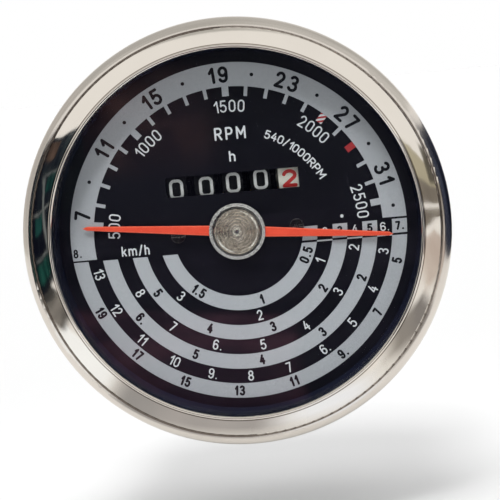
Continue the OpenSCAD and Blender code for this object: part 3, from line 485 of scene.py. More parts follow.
# Dial plate. Aluminium sheet painted blue-black, semi-gloss, with the window of the counter
# punched through it. A few specks of dust lie on it.
dial_black, tree, shader = new_finish("dial_paint", specular_ior_level=0.12)
specks = use(tree, dust, "Mask", scale=0.22, amount=0.10, size=0.032)
lint = use(tree, dust, "Mask", scale=0.9, amount=0.05, size=0.07)
specks = calculate(tree, "MAXIMUM", specks, times(tree, lint, 0.30))
colour = blend_colours(tree, cloudy(tree, 0.05), (0.0035, 0.0035, 0.0060), (0.0065, 0.0060, 0.0105))
feed(tree, shader, laid_over(tree, colour, specks, 0.6, (0.60, 0.60, 0.62)),
     cloudy(tree, 2.0, low=0.30, high=0.42), cloudy(tree, 6.0), 0.004)
dress(dial_black, "dial_plate")

# Scale bands. Silver-grey ink, screen printed on the dial: one band over the top with the ticks
# of the engine speed, and four below it, with bare dial between them, for the seven gears, with
# their cells at the right. The print sits a little to the right of the axis and below it.
dial_face = -1.0
ink_sink = 0.01
ink_bottom, band_top = dial_face - ink_sink, dial_face + 0.03
print_shift = Vector((0.10, -0.18))
band_radii = [45.6, 41.6, 37.6, 33.6, 29.55, 25.6, 21.5, 17.55]
scale_outer, scale_inner = 45.6, 39.15
scale_left_end, scale_right_end = -4.4, 0.35
gear_left_end = -4.85
cell_bottom, cell_top = -4.0, -0.2
line_bottom, line_top = -4.6, -4.2
tick_depth, tick_width, mark_width = 2.6, 0.95, 1.8
speed_500, step_500 = 172.8, 41.4
arc_steps = 96
weld_distance, sliver_length = 2e-7, 1e-8
outline_tolerance = 1e-6


def speed_angle(rpm):
    """The dial angle of an engine speed, anticlockwise from the right."""
    return speed_500 - (rpm - 500) / 500 * step_500


def polar(radius_mm, degrees):
    """A point of the dial from its distance to the axis and its angle."""
    return Vector((radius_mm * math.cos(math.radians(degrees)), radius_mm * math.sin(math.radians(degrees))))


def prism(outlines, low, high, lift=None):
    """Points and faces of a plate with the area inside any of the outlines, between two heights.
    lift(x, y, height) gives the place on the dial, if it isn't flat."""
    points, loops = [], []
    for outline in outlines:
        flat_outline = [Vector(p[:2]) for p in outline]
        if sum(a.cross(b) for a, b in zip(flat_outline, flat_outline[1:] + flat_outline[:1])) < 0:
            flat_outline.reverse()
        loops.append(list(range(len(points), len(points) + len(flat_outline))))
        points += flat_outline
    flat_points, _, triangles, _, _, owners = delaunay_2d_cdt(points, [], loops, 0, outline_tolerance)
    triangles = [list(t) for t, owner in zip(triangles, owners) if owner]
    lift = lift or (lambda x, y, z: (x, y, z))
    count = len(flat_points)
    places = [lift(p.x, p.y, z) for z in (high, low) for p in flat_points]
    edges = {(a, b) for t in triangles for a, b in zip(t, t[1:] + t[:1])}
    faces = triangles + [[i + count for i in reversed(t)] for t in triangles]
    faces += [[b, a, a + count, b + count] for a, b in edges if (b, a) not in edges]
    return places, faces


def merged(*parts):
    """Several lots of points and faces as one."""
    points, faces = [], []
    for part_points, part_faces in parts:
        faces += [[i + len(points) for i in face] for face in part_faces]
        points += list(part_points)
    return points, faces


def build(name, shape, body, slot, material, sharp=32.0):
    """A piece from points and faces on the dial; edges sharper than that angle stay crisp."""
    mesh = bpy.data.meshes.new(name)
    mesh.from_pydata([stand(p) / mm_per_metre for p in shape[0]], [], shape[1])
    work = bmesh.new()
    work.from_mesh(mesh)
    bmesh.ops.remove_doubles(work, verts=work.verts, dist=weld_distance)
    bmesh.ops.dissolve_degenerate(work, edges=work.edges, dist=sliver_length)
    bmesh.ops.delete(work, geom=[v for v in work.verts if not v.link_faces], context="VERTS")
    bmesh.ops.recalc_face_normals(work, faces=work.faces)
    for face in work.faces:
        face.smooth = True
    for edge in work.edges:
        edge.smooth = edge.is_manifold and edge.calc_face_angle(math.pi) < math.radians(sharp)
    work.to_mesh(mesh)
    work.free()
    mesh.materials.append(material)
    piece = add_object(name, mesh)
    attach(piece, body)
    return piece


def print_ink(name, marks, low, high, slot, ink):
    """Marks of ink on the dial, each a list of outlines, as one piece."""
    plates = [prism([[p + print_shift for p in outline] for outline in mark], low, high) for mark in marks]
    return build(name, merged(*plates), "housing", slot, ink)


def band_outline(outer, inner, cut_left, cut_right):
    """Outline of an arc band between two radii whose ends are cut level, at heights on the dial.
    The band runs over the top if its right end is at 0 or above, else below."""
    rows = []
    for edge_radius in (outer, inner):
        start = 180 + math.degrees(math.asin(-cut_left / edge_radius))
        end = math.degrees(math.asin(cut_right / edge_radius)) + (0 if cut_right >= 0 else 360)
        rows.append([polar(edge_radius, start + (end - start) * i / arc_steps) for i in range(arc_steps + 1)])
    return rows[0] + rows[1][::-1]


def bar(inner, outer, width, degrees):
    """Outline of a short bar that points at the axis."""
    along, across = polar(1, degrees), polar(width / 2, degrees + 90)
    return [along * outer + across, along * inner + across, along * inner - across, along * outer - across]


def cell(outer, inner, bottom, top):
    """Outline of a cell between two radii at the right of the dial, cut level below and above."""
    middle = (bottom + top) / 2
    corners = [(inner, bottom), (outer, bottom), (outer, middle), (outer, top), (inner, top), (inner, middle)]
    return [Vector((math.sqrt(r * r - y * y), y)) for r, y in corners]


silver, tree, shader = new_finish("silver_ink", specular_ior_level=0.4)
grain = cloudy(tree, 3.5, 1.2)
colour = blend_colours(tree, grain, (0.43, 0.44, 0.475), (0.54, 0.55, 0.585))
feed(tree, shader, laid_over(tree, colour, cloudy(tree, 0.06, 0.8), 0.35, (0.41, 0.425, 0.465)),
     cloudy(tree, 1.0, low=0.38, high=0.50), grain, 0.003)

over_top = [band_outline(scale_outer, scale_inner, scale_left_end, scale_right_end)]
for rpm in range(500, 2501, 100):
    if rpm not in (2000, 2200):
        wide = tick_width if rpm % 500 else mark_width
        over_top.append(bar(scale_inner - tick_depth, scale_inner + 0.3, wide, speed_angle(rpm)))
print_ink("scale_band", [over_top], ink_bottom, band_top, "white_plastic", silver)

printed_bands = [(band_radii[i], band_radii[i + 1]) for i in (0, 2, 4, 6)]
gear_bands = [[band_outline(outer, inner, gear_left_end, line_bottom)] for outer, inner in printed_bands]
print_ink("gear_bands", gear_bands, ink_bottom, band_top, "white_plastic", silver)
cells = [[cell(outer, inner, cell_bottom, cell_top)] for outer, inner in printed_bands]
print_ink("gear_cells", cells, ink_bottom, band_top, "white_plastic", silver)

# Numerals. White ink on the bare dial and black ink on the bands, drawn with a round pen in
# plain engineering figures. Above, their feet point at the axis, and below, their heads do.
numeral_top, label_top = dial_face + 0.045, band_top + 0.02
one_aside = 0.1


def arc(cx, cy, rx, ry, start, end):
    """Points of an arc of an ellipse."""
    count = max(2, round(abs(end - start) / 15))
    turns = [math.radians(start + (end - start) * i / count) for i in range(count + 1)]
    return [(cx + rx * math.cos(t), cy + ry * math.sin(t)) for t in turns]


six = [arc(.5, .29, .5, .29, 90, 270), arc(.5, .29, .5, .29, 90, -90),
       [(0, .29), (0, .72)] + arc(.5, .72, .5, .28, 180, 28)]
# For each character its width as a share of its height, and its pen lines in a unit box
characters = {
    "0": (.55, [arc(.5, .72, .5, .28, 90, 180) + arc(.5, .28, .5, .28, 180, 270),
                arc(.5, .72, .5, .28, 90, 0) + arc(.5, .28, .5, .28, 0, -90)]),
    "1": (.34, [[(1, 0), (1, 1)], [(1, 1), (0, .70)]]),
    "2": (.54, [arc(.5, .72, .48, .28, 165, -45) + [(0, 0)], [(0, 0), (1, 0)]]),
    "3": (.54, [arc(.46, .765, .46, .235, 150, -90), arc(.47, .265, .53, .265, 90, -150)]),
    "4": (.56, [[(.60, 1), (0, .28)], [(0, .28), (1, .28)], [(.74, .62), (.74, 0)]]),
    "5": (.54, [[(.92, 1), (.14, 1)], [(.14, 1), (.06, .53)], arc(.46, .31, .54, .31, 138, -150)]),
    "6": (.54, six),
    "7": (.50, [[(0, 1), (1, 1)], [(1, 1), (.34, 0)]]),
    "8": (.55, [arc(.5, .765, .42, .235, 90, 270), arc(.5, .765, .42, .235, 90, -90),
                arc(.5, .265, .5, .265, 90, 270), arc(.5, .265, .5, .265, 90, -90)]),
    "9": (.54, [[(1 - x, 1 - y) for x, y in line] for line in six]),
    ".": (.18, [[(.5, .02), (.5, .03)]]),
    "/": (.42, [[(0, -.06), (1, 1.06)]]),
    "R": (.58, [[(0, 0), (0, 1)], [(.48, .48), (1, 0)],
                [(0, 1), (.5, 1)] + arc(.55, .74, .45, .26, 75, -75) + [(.5, .48), (0, .48)]]),
    "P": (.56, [[(0, 0), (0, 1)],
                [(0, 1), (.5, 1)] + arc(.55, .72, .45, .28, 75, -75) + [(.5, .44), (0, .44)]]),
    "M": (.72, [[(0, 0), (0, 1)], [(0, 1), (.5, .34)], [(.5, .34), (1, 1)], [(1, 1), (1, 0)]]),
    "h": (.50, [[(0, 0), (0, 1)], arc(.5, .44, .5, .26, 180, 0) + [(1, 0)]]),
    "k": (.50, [[(0, 0), (0, 1)], [(.92, .68), (0, .27)], [(.34, .42), (1, 0)]]),
    "m": (.84, [[(0, 0), (0, .70)], arc(.25, .46, .25, .24, 180, 0) + [(.5, 0)],
                arc(.75, .46, .25, .24, 180, 0) + [(1, 0)]]),
}


def round_end(end, side):
    """Points of a half circle round the end of a pen line, from one side of it to the other."""
    turns = [math.radians(-22.5 * i) for i in range(1, 8)]
    return [end + side * math.cos(t) + Vector((-side.y, side.x)) * math.sin(t) for t in turns]


def pen_outline(line, half_pen, step=None):
    """Outline of a pen line with round ends; step is the most that its points lie apart."""
    points = [Vector(line[0])]
    for end in map(Vector, line[1:]):
        start = points[-1].copy()
        pieces = max(1, math.ceil((end - start).length / step)) if step else 1
        points += [start.lerp(end, i / pieces) for i in range(1, pieces + 1)]
    sides = []
    for i, point in enumerate(points):
        along = (points[min(i + 1, len(points) - 1)] - points[max(i - 1, 0)]).normalized()
        sides.append(Vector((-along.y, along.x)) * half_pen)
    there = [p + s for p, s in zip(points, sides)] + round_end(points[-1], sides[-1])
    back = [p - s for p, s in zip(points, sides)][::-1] + round_end(points[0], -sides[0])
    return there + back


def write(text, height, pen, place, gap=0.17, wide=1.0, step=None):
    """Outlines of a text for each character. place(offset) gives the middle of a character on
    the dial and the directions of its line and of its height."""
    widths = [characters[c][0] * height * wide for c in text]
    cursor = -(sum(widths) + gap * height * (len(text) - 1)) / 2
    result = []
    for character, width in zip(text, widths):
        middle, line_way, up_way = place(cursor + width / 2)
        aside = one_aside * width if character == "1" else 0.0
        outlines = []
        for line in characters[character][1]:
            flat_line = [((x - 0.5) * (width - pen) + aside, (y - 0.5) * (height - pen)) for x, y in line]
            outline = pen_outline(flat_line, pen / 2, step)
            outlines.append([middle + line_way * p.x + up_way * p.y for p in outline])
        result.append(outlines)
        cursor += width + gap * height
    return result


def on_arc(radius_mm, degrees, up=1):
    """Places characters on an arc, with their feet at the axis side, or their heads where up is -1."""
    def place(offset):
        outward = polar(1, degrees - up * math.degrees(offset / radius_mm))
        return outward * radius_mm, Vector((outward.y, -outward.x)) * up, outward * up
    return place


def level_line(x, y):
    """Places characters on a straight level line."""
    return lambda offset: (Vector((x + offset, y)), Vector((1, 0)), Vector((0, 1)))


def dot(centre, diameter):
    """Outline of a round dot."""
    return [centre + polar(diameter / 2, 22.5 * i) for i in range(16)]


white_marks, black_marks = [], []
for rpm, at, radius in ((500, 172.9, 33.6), (1000, 130.65, 33.95), (1500, 88.9, 33.9),
                        (2000, 48.5, 34.4), (2500, 9.0, 34.05)):
    white_marks += write(str(rpm), 3.25, 0.39, on_arc(radius, at), gap=0.18, wide=1.03)
white_marks += write("RPM", 3.45, 0.50, level_line(0.25, 26.6), gap=0.26, wide=1.04)
white_marks += write("h", 2.9, 0.45, level_line(0.3, 20.4), wide=1.18)
white_marks += write("km/h", 2.75, 0.40, level_line(-28.2, -2.85))
white_marks += write("540/1000RPM", 2.35, 0.36, on_arc(27.35, 48.5), gap=0.13, wide=1.22)
white_marks.append([dot(Vector((28.3, 1.75)), 0.9)])

road_radius = 42.4
road_angles = (169.5, 156.7, 143.8, 131.1, 118.1, 105.4, 92.2, 79.9, 66.8, 54.8, 41.2, 29.0, 17.0, 4.7)
for value, at in zip(range(7, 34, 2), road_angles):
    if value % 4 == 3:
        black_marks += write(str(value), 4.45, 0.82, on_arc(road_radius, at), gap=0.24, wide=1.12)
    else:
        black_marks.append([dot(polar(road_radius, at), 1.0)])

# For each gear from the slowest: its first value, step, dial angle of the first and turn per
# unit, the values with a point after them, and how many values it has
gear_scales = [
    (0.5, 0.5, -23.9, 104.2, (), 3),
    (1, 1, -24.8, 55.7, (), 3),
    (2, 1, -38.7, 36.2, (), 4),
    (2, 1, -12.7, 23.31, (6,), 7),
    (2, 1, -25.5, 29.5, (6,), 5),
    (3, 1, -12.6, 15.5, (6, 9), 11),
    (5, 2, -15.2, 9.92, (9,), 8),
]
point_room = 0.35
cell_middle = (cell_bottom + cell_top) / 2 + 0.05
number_drop = math.sqrt(6)
for gear, (first, step, first_angle, turn, pointed, how_many) in enumerate(gear_scales, 1):
    outer, inner = band_radii[7 - gear], band_radii[8 - gear]
    marks, pen = (black_marks, 0.60) if gear % 2 else (white_marks, 0.38)
    for i in range(how_many):
        value = first + i * step
        at = 360 + first_angle - (value - first) * turn
        text = f"{value:g}"
        if value in pointed:
            at += math.degrees(point_room / outer)
            text += "."
        marks += write(text, 2.85, pen, on_arc((outer + inner) / 2, at, -1), gap=0.15)
    if gear > 1:
        middle = math.sqrt(((outer + inner) / 2) ** 2 - number_drop ** 2)
        text = str(gear) + ("." if gear >= 6 else "")
        marks += write(text, 2.4, 0.9 * pen, level_line(middle, cell_middle), wide=1.15)
    if gear in (2, 4, 6):
        white_marks.append([cell(outer, inner, line_bottom, line_top)])
black_marks += write("8.", 2.45, 0.46, level_line(-44.1, -2.4))

white_ink = two_tone("white_ink", (0.66, 0.67, 0.70), (0.82, 0.83, 0.86), (0.40, 0.52), patch=4.0)
black_ink = two_tone("black_ink", (0.004, 0.004, 0.006), (0.010, 0.010, 0.013), (0.36, 0.48),
                     gloss=0.08, patch=0.8)
print_ink("white_numerals", white_marks, ink_bottom, numeral_top, "white_plastic", white_ink)
print_ink("black_numerals", black_marks, band_top - ink_sink, label_top, "black_plastic", black_ink)

# Red marks. At 2000 a block hatched red and white, and at 2200 a plain red one, in the same
# screen printed ink as the ticks that they stand in for.
block_in, block_out = scale_inner - tick_depth, scale_inner - 0.05
stripe_width, stripe_phase, stripe_slant = 0.52, -0.50, 45
stripes = range(-3, 5)
red_ink = two_tone("red_ink", (0.36, 0.020, 0.024), (0.50, 0.035, 0.040), (0.40, 0.50))


def clip(outline, direction, limit):
    """The part of an outline on whose points direction reads no more than limit."""
    kept = []
    for a, b in zip(outline, outline[1:] + outline[:1]):
        over_a, over_b = a.dot(direction) - limit, b.dot(direction) - limit
        if over_a <= 0:
            kept.append(a)
        if over_a * over_b < 0:
            kept.append(a.lerp(b, over_a / (over_a - over_b)))
    return kept


hatched_block = bar(block_in, block_out, mark_width, speed_angle(2000))
solid_block = bar(block_in, block_out, mark_width, speed_angle(2200))
block_middle = polar((block_in + block_out) / 2, speed_angle(2000))
across_stripes = polar(1, speed_angle(2000) + stripe_slant)
hatch_red, hatch_white = [], []
for i in stripes:
    start = block_middle.dot(across_stripes) + stripe_phase + i * stripe_width
    outline = clip(clip(hatched_block, across_stripes, start + stripe_width), -across_stripes, -start)
    if len(outline) > 2:
        (hatch_red if i % 2 else hatch_white).append([outline])
print_ink("red_marks", [[solid_block]] + hatch_red, ink_bottom, numeral_top, "pointer_red", red_ink)
print_ink("hatch_white", hatch_white, ink_bottom, numeral_top, "white_plastic", white_ink)

# Dial screws. Two small slotted steel screws, chemically blackened, that hold the dial sheet on its
# pillars. Their bright edges are part wear and part painted highlight.

# Drawn metal: fine lines along the case's axis or across it, as a tool leaves them.
drawn, given, made = add_group("drawn", [("Across", 4.0), ("Along", 0.1)], "Lines")
stretched = add_node(drawn, "ShaderNodeCombineXYZ", {
    "X": given["Across"], "Y": given["Along"], "Z": given["Across"]})
scaled = add_node(drawn, "ShaderNodeVectorMath", {0: on_piece(drawn), 1: stretched.outputs[0]},
                  operation="MULTIPLY")
drawn.links.new(noise_at(drawn, scaled.outputs[0], mm_per_metre, 3.0), made["Lines"])

# Edge mask: where two faces meet, for bright worn edges and, on the pointer and the dial screws, painted
# highlights; Width is in mm.
edge_wear_and_highlight, given, made = add_group("edge_wear_and_highlight_mask", [("Width", 0.2)], "Mask")
surface = add_node(edge_wear_and_highlight, "ShaderNodeNewGeometry")
rounding = calculate(edge_wear_and_highlight, "DIVIDE", given["Width"], mm_per_metre)
rounded = add_node(edge_wear_and_highlight, "ShaderNodeBevel", {"Radius": rounding}, samples=4)
facing = add_node(edge_wear_and_highlight, "ShaderNodeVectorMath", {0: surface.outputs["True Normal"], 1: rounded.outputs[0]},
                  operation="DOT_PRODUCT")
edge = ramp(edge_wear_and_highlight, facing.outputs["Value"], 0.995, 0.93)
edge_wear_and_highlight.links.new(times(edge_wear_and_highlight, edge, noise_at(edge_wear_and_highlight, on_piece(edge_wear_and_highlight), 1500.0)), made["Mask"])


def brighter(colour, factor, lift):
    """A lighter tone of the same colour."""
    return tuple(min(1.0, c * factor + lift) for c in colour)


def metal(name, light, dark, rough, across=3.0, along=0.3, bright_edge_share=0.5, edge=None, edge_width=0.15):
    """A machined or plated metal: two tones, its range of roughness, tool lines and bright worn edges, which
    on the dial screws are also a painted highlight.
    """
    material, tree, principled = new_finish(name, metallic=1.0)
    lines = use(tree, drawn, "Lines", across=across, along=along)
    tone = times(tree, calculate(tree, "ADD", lines, cloudy(tree, 0.25)), 0.5)
    edges = use(tree, edge_wear_and_highlight, "Mask", width=edge_width)
    colour = blend_colours(tree, tone, dark, light)
    colour = laid_over(tree, colour, edges, bright_edge_share, edge or brighter(light, 1.25, 0.06))
    feed(tree, principled, colour, ramp(tree, tone, out_low=rough[1], out_high=rough[0]), lines, 0.006)
    return material


# Painted highlight: the bright edges of the screw heads are partly painted highlight.
blackened = metal("blackened_steel", (0.055, 0.055, 0.055), (0.02, 0.02, 0.02), (0.20, 0.34),
                  bright_edge_share=1.0, edge=(0.55, 0.53, 0.50), edge_width=0.35)
dress(blackened, "dial_screws")

# Pointer. A double ended blade of aluminium, stamped, with a thin bevel all round, painted
# matt red-orange, with a painted highlight that makes it lighter at the edges.
blade_length, blade_root, blade_tip, blade_point = 42.0, 3.1, 1.1, 1.2
blade_low, blade_high, blade_bevel = 0.0, 0.5, 0.16
blade_angle = 174.2
pointer_red, tree, shader = new_finish("pointer_paint", specular_ior_level=0.30)
# Painted highlight: the colour is lightened along the edges of the blade.
painted_edge_highlight = use(tree, edge_wear_and_highlight, "Mask", width=0.30)
colour = blend_colours(tree, cloudy(tree, 0.5), (0.86, 0.070, 0.030), (0.93, 0.095, 0.045))
feed(tree, shader, laid_over(tree, colour, painted_edge_highlight, 0.8, (1.0, 0.36, 0.22)),
     cloudy(tree, 1.0, low=0.48, high=0.60), cloudy(tree, 5.0), 0.006)


def blade_outline(inset):
    """Outline of the blade, drawn in by that much."""
    root, tip = blade_root / 2 - inset, blade_tip / 2 - inset
    shoulder = blade_length - blade_point
    half = [(0.0, -root), (shoulder, -tip), (blade_length - inset, 0.0), (shoulder, tip), (0.0, root)]
    along, across = polar(1, blade_angle), polar(1, blade_angle + 90)
    return [along * x + across * y for x, y in half + [(-x, -y) for x, y in half[1:-1]]]


def ring_faces(rings, size, closed=False):
    """Faces between rings of points, each of that size; closed joins the last to the first."""
    faces = []
    for ring in range(rings if closed else rings - 1):
        here, there = ring * size, (ring + 1) % rings * size
        for i in range(size):
            j = (i + 1) % size
            faces.append([here + i, here + j, there + j, there + i])
    return faces


blade_rings = [(blade_bevel, blade_low), (0.0, blade_low + blade_bevel), (0.0, blade_high - blade_bevel),
               (blade_bevel, blade_high)]
blade_points = [(*corner, z) for inset, z in blade_rings for corner in blade_outline(inset)]
corner_count = len(blade_points) // 4
blade_faces = ring_faces(4, corner_count)
blade_faces += [list(range(start, start + corner_count)) for start in (0, 3 * corner_count)]
blade = build("pointer_blade_painted", (blade_points, blade_faces), "pointer", "pointer_red",
              pointer_red, sharp=20)
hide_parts("pointer_blade")

# Hub. Turned from nickel silver: a flange, a raised disc with the rings of the lathe tool on
# it, and a punch mark at the centre that spreads it on the spindle.
sleeve_low, hub_low, hub_step, hub_top = -1.8, 0.5, 1.2, 2.0
hub_radius, disc_radius, sleeve_radius = 7.65, 6.35, 1.7
ring_pitch, ring_depth, ring_count = 0.80, 0.13, 5
punch_radius, punch_depth = 0.44, 1.05


def ring_points(reach, z, sides, centre=(0.0, 0.0)):
    """Points of a ring round an upright axis. reach is its radius, or gives the radius for each
    share of a turn."""
    points = []
    for i in range(sides):
        radius_mm = reach(i / sides) if callable(reach) else reach
        turn = math.tau * i / sides
        points.append((centre[0] + radius_mm * math.cos(turn), centre[1] + radius_mm * math.sin(turn), z))
    return points


def lathe(profile, sides, centre=(0.0, 0.0)):
    """Points and faces of a profile of (radius, height) turned about an axis."""
    points = [point for radius_mm, z in profile for point in ring_points(radius_mm, z, sides, centre)]
    off_axis = max(profile[0][0], profile[-1][0]) > 0
    return points, ring_faces(len(profile), sides, closed=off_axis)


hub_profile = [
    (0.0, sleeve_low), (sleeve_radius, sleeve_low), (sleeve_radius, hub_low), (hub_radius - 0.12, hub_low),
    (hub_radius, hub_low + 0.12), (hub_radius, hub_step - 0.18), (hub_radius - 0.05, hub_step - 0.06),
    (hub_radius - 0.18, hub_step), (disc_radius + 0.40, hub_step), (disc_radius + 0.28, hub_step - 0.25),
    (disc_radius, hub_step - 0.25), (disc_radius, hub_top - 0.30), (disc_radius - 0.08, hub_top - 0.14),
    (disc_radius - 0.30, hub_top)]
for i in range(ring_count):
    ring_radius = disc_radius - 0.45 - i * ring_pitch
    hub_profile += [(ring_radius, hub_top), (ring_radius - 0.35 * ring_pitch, hub_top - ring_depth),
                    (ring_radius - 0.7 * ring_pitch, hub_top - 0.3 * ring_depth)]
hub_profile += [(1.25, hub_top - 0.10), (1.05, hub_top), (punch_radius + 0.11, hub_top),
                (punch_radius + 0.02, hub_top - 0.10), (punch_radius, hub_top - punch_depth + 0.10),
                (0.0, hub_top - punch_depth)]
nickel, tree, shader = new_finish("turned_nickel", metallic=1.0)
radius = use(tree, from_axis, "Radius")
lathe_rings = use(tree, turned, "Rings", pitch=ring_pitch, waver=1.6)
scratches = cloudy(tree, 1.9, 4.5)
from_edge = calculate(tree, "SUBTRACT", radius, disc_radius)
on_disc = window(tree, from_edge, 0.10, -0.30)
# Painted highlight: a patchy bright ring just inside the edge of the disc.
painted_highlight_arc = ring_mask(tree, from_edge, (-1.15, -0.95), (-0.75, -0.55))
# Painted shade: a dark ring over the groove round the disc.
painted_groove_shade = ring_mask(tree, from_edge, (-0.40, -0.05), (0.28, 0.45))
# Painted highlight: a bright ring round the punch mark.
painted_punch_highlight = ring_mask(tree, radius, (0.50, 0.60), (0.95, 1.15))
colour = blend_colours(tree, lathe_rings, (0.29, 0.235, 0.19), (0.56, 0.475, 0.39))
colour = laid_over(tree, colour, cloudy(tree, 0.45, 2.6), 0.55, (0.26, 0.20, 0.155))
colour = laid_over(tree, colour, scratches, 0.25, (0.80, 0.72, 0.61))
colour = blend_colours(tree, on_disc, (0.74, 0.72, 0.70), colour)
colour = laid_over(tree, colour, painted_highlight_arc, cloudy(tree, 0.16, 4.0), (0.95, 0.91, 0.84))
colour = laid_over(tree, colour, painted_groove_shade, 0.8, (0.05, 0.045, 0.04))
colour = laid_over(tree, colour, use(tree, edge_wear_and_highlight, "Mask", width=0.22), 0.8, (0.92, 0.90, 0.86))
colour = laid_over(tree, colour, painted_punch_highlight, 0.7, (0.90, 0.86, 0.76))
# Painted shade: the punch hole is coloured near black.
colour = blend_colours(tree, window(tree, radius, 0.58, 0.50), colour, (0.004, 0.004, 0.004))
height = calculate(tree, "ADD", lathe_rings, times(tree, scratches, 0.8))
feed(tree, shader, colour, cloudy(tree, 0.7, low=0.13, high=0.24), height, 0.06)
hub = build("pointer_hub_turned", lathe(hub_profile, sides=128), "pointer", "nickel", nickel)
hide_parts("pointer_hub")

# Speed movement. The magnet turns in the drag cup, the cup turns the spindle against a flat
# spring of phosphor bronze, and a steel ring closes the field. Turned, spun and plated parts.
steel = metal("bright_steel", (0.60, 0.61, 0.63), (0.40, 0.41, 0.43), (0.22, 0.36))
brass = metal("turned_brass", (0.80, 0.62, 0.30), (0.58, 0.43, 0.19), (0.24, 0.38))
aluminium = metal("spun_aluminium", (0.82, 0.83, 0.85), (0.62, 0.63, 0.65), (0.26, 0.40),
                  across=0.4, along=6.0)
bronze = metal("spring_bronze", (0.74, 0.50, 0.28), (0.52, 0.33, 0.17), (0.20, 0.32), along=6.0)
magnet = metal("ground_magnet", (0.17, 0.17, 0.18), (0.09, 0.09, 0.10), (0.35, 0.55),
               across=0.4, along=5.0)
dress(steel, "pointer_spindle", "field_ring", "drive_spindle")
dress(brass, "pointer_bush", "hairspring_stud", "drive_bush")
dress(aluminium, "drag_cup")
dress(bronze, "hairspring")
dress(magnet, "drive_magnet")

# Hour counter. Five moulded digit wheels on a steel shaft. Four are black with light grey
# figures, and the last, the tenths, is white with bold red ones. The figures are hot stamped.
drum_radius, drum_pitch, drum_middle_x = 10.0, 7.6, -0.3
counter_axis = (13.25, -12.6)
figure_sink, figure_raise = -0.02, 0.03
figure_step = 0.35
one_stretch = 1.5
# The figures of the wheels have a squarer zero.
characters["O"] = (.55, [
    [(.5, 1)] + arc(.34, .76, .34, .24, 90, 180) + arc(.34, .24, .34, .24, 180, 270) + [(.5, 0)],
    [(.5, 1)] + arc(.66, .76, .34, .24, 90, 0) + arc(.66, .24, .34, .24, 0, -90) + [(.5, 0)]])


def plastic(name, light, dark, rough, gloss=0.45):
    """Moulded plastic: two tones, its range of roughness and a fine moulded grain."""
    material, tree, principled = new_finish(name, specular_ior_level=gloss)
    colour = blend_colours(tree, cloudy(tree, 0.3), dark, light)
    colour = laid_over(tree, colour, use(tree, edge_wear_and_highlight, "Mask", width=0.15), 0.35, brighter(light, 1.4, 0.04))
    feed(tree, principled, colour, cloudy(tree, 1.2, low=rough[0], high=rough[1]), cloudy(tree, 3.0), 0.01)
    return material


wheel_black = plastic("matt_black_moulding", (0.009, 0.009, 0.010), (0.005, 0.005, 0.006), (0.5, 0.6),
                      gloss=0.06)
white_plastic = plastic("white_moulding", (0.80, 0.77, 0.69), (0.70, 0.67, 0.59), (0.40, 0.55))
figure_grey = two_tone("figure_grey", (0.58, 0.58, 0.58), (0.74, 0.74, 0.73), (0.42, 0.55),
                       patch=2.5, relief=0.004)
figure_red = two_tone("figure_red", (0.48, 0.020, 0.020), (0.60, 0.035, 0.032), (0.40, 0.52),
                      patch=2.5, relief=0.004)
dress(white_plastic, "digit_wheel_tenths")
for place in ("units", "tens", "hundreds", "thousands"):
    dress(wheel_black, "digit_wheel_" + place)
    dress(white_plastic, "carry_pinion_" + place)


def on_drum(wheel_x, middle):
    """Wraps what is drawn round y = 0 on the rim of a digit wheel, at that angle from the front."""
    def lift(x, y, height):
        turn = math.radians(middle) + y / drum_radius
        reach = drum_radius + height
        return wheel_x + x, counter_axis[0] + reach * math.sin(turn), counter_axis[1] + reach * math.cos(turn)
    return lift


# For each wheel from the right: its name, the figure it shows, how far the print sits to the
# right of its middle and below it, the height, width and pen of its figures, and their ink
wheel_prints = [
    ("tenths", 2, 0.3, 0.4, 4.9, 1.54, 0.98, figure_red, "pointer_red"),
    ("units", 0, 0.1, 0.0, 5.5, 1.27, 0.80, figure_grey, "white_plastic"),
    ("tens", 0, 0.2, 0.3, 5.5, 1.27, 0.80, figure_grey, "white_plastic"),
    ("hundreds", 0, 0.4, 0.8, 5.5, 1.27, 0.80, figure_grey, "white_plastic"),
    ("thousands", 0, -0.1, 0.85, 5.5, 1.27, 0.80, figure_grey, "white_plastic"),
]
for place, (wheel, shown, aside, lower, tall, wide, pen, ink, slot_name) in enumerate(wheel_prints):
    wheel_x = drum_middle_x + (2 - place) * drum_pitch + aside
    figures = []
    for digit in range(10):
        turn = (shown - digit) * 36 - math.degrees(lower / drum_radius)
        stretch = wide * (one_stretch if digit == 1 else 1.0)
        for mark in write(str(digit or "O"), tall, pen, level_line(0, 0), wide=stretch, step=figure_step):
            figures.append(prism(mark, figure_sink, figure_raise, on_drum(wheel_x, turn)))
    build("figures_" + wheel, merged(*figures), "wheel_" + wheel, slot_name, ink, sharp=40)

# The wheels run between two plated side plates, and the white pinions above them carry.
zinc = metal("zinc_plate", (0.66, 0.67, 0.66), (0.50, 0.51, 0.51), (0.30, 0.44),
             across=0.5, along=0.5, bright_edge_share=0.6)
dress(zinc, "counter_plate_left", "counter_plate_right")
dress(steel, "counter_shaft", "carry_pinion_shaft", "counter_plate_screws")

# Hour drive. Three worms and brass worm wheels slow the drive down for the counter, on steel
# shafts that run in angle brackets, the base plate and the bridge.
dress(brass, "counter_worm_wheel", "upright_worm_wheel", "cross_worm_wheel")
dress(steel, "upright_shaft", "cross_shaft", "cross_bracket_screws")
dress(zinc, "cross_bracket_left", "cross_bracket_right")

# Frame of the movement. A zinc plated base plate, brass pillars and a brass bridge, held by
# slotted steel screws.
dress(brass, "top_bridge", "frame_pillars", "dial_pillars")
dress(zinc, "base_plate")
dress(steel, "bridge_screws", "movement_screws")

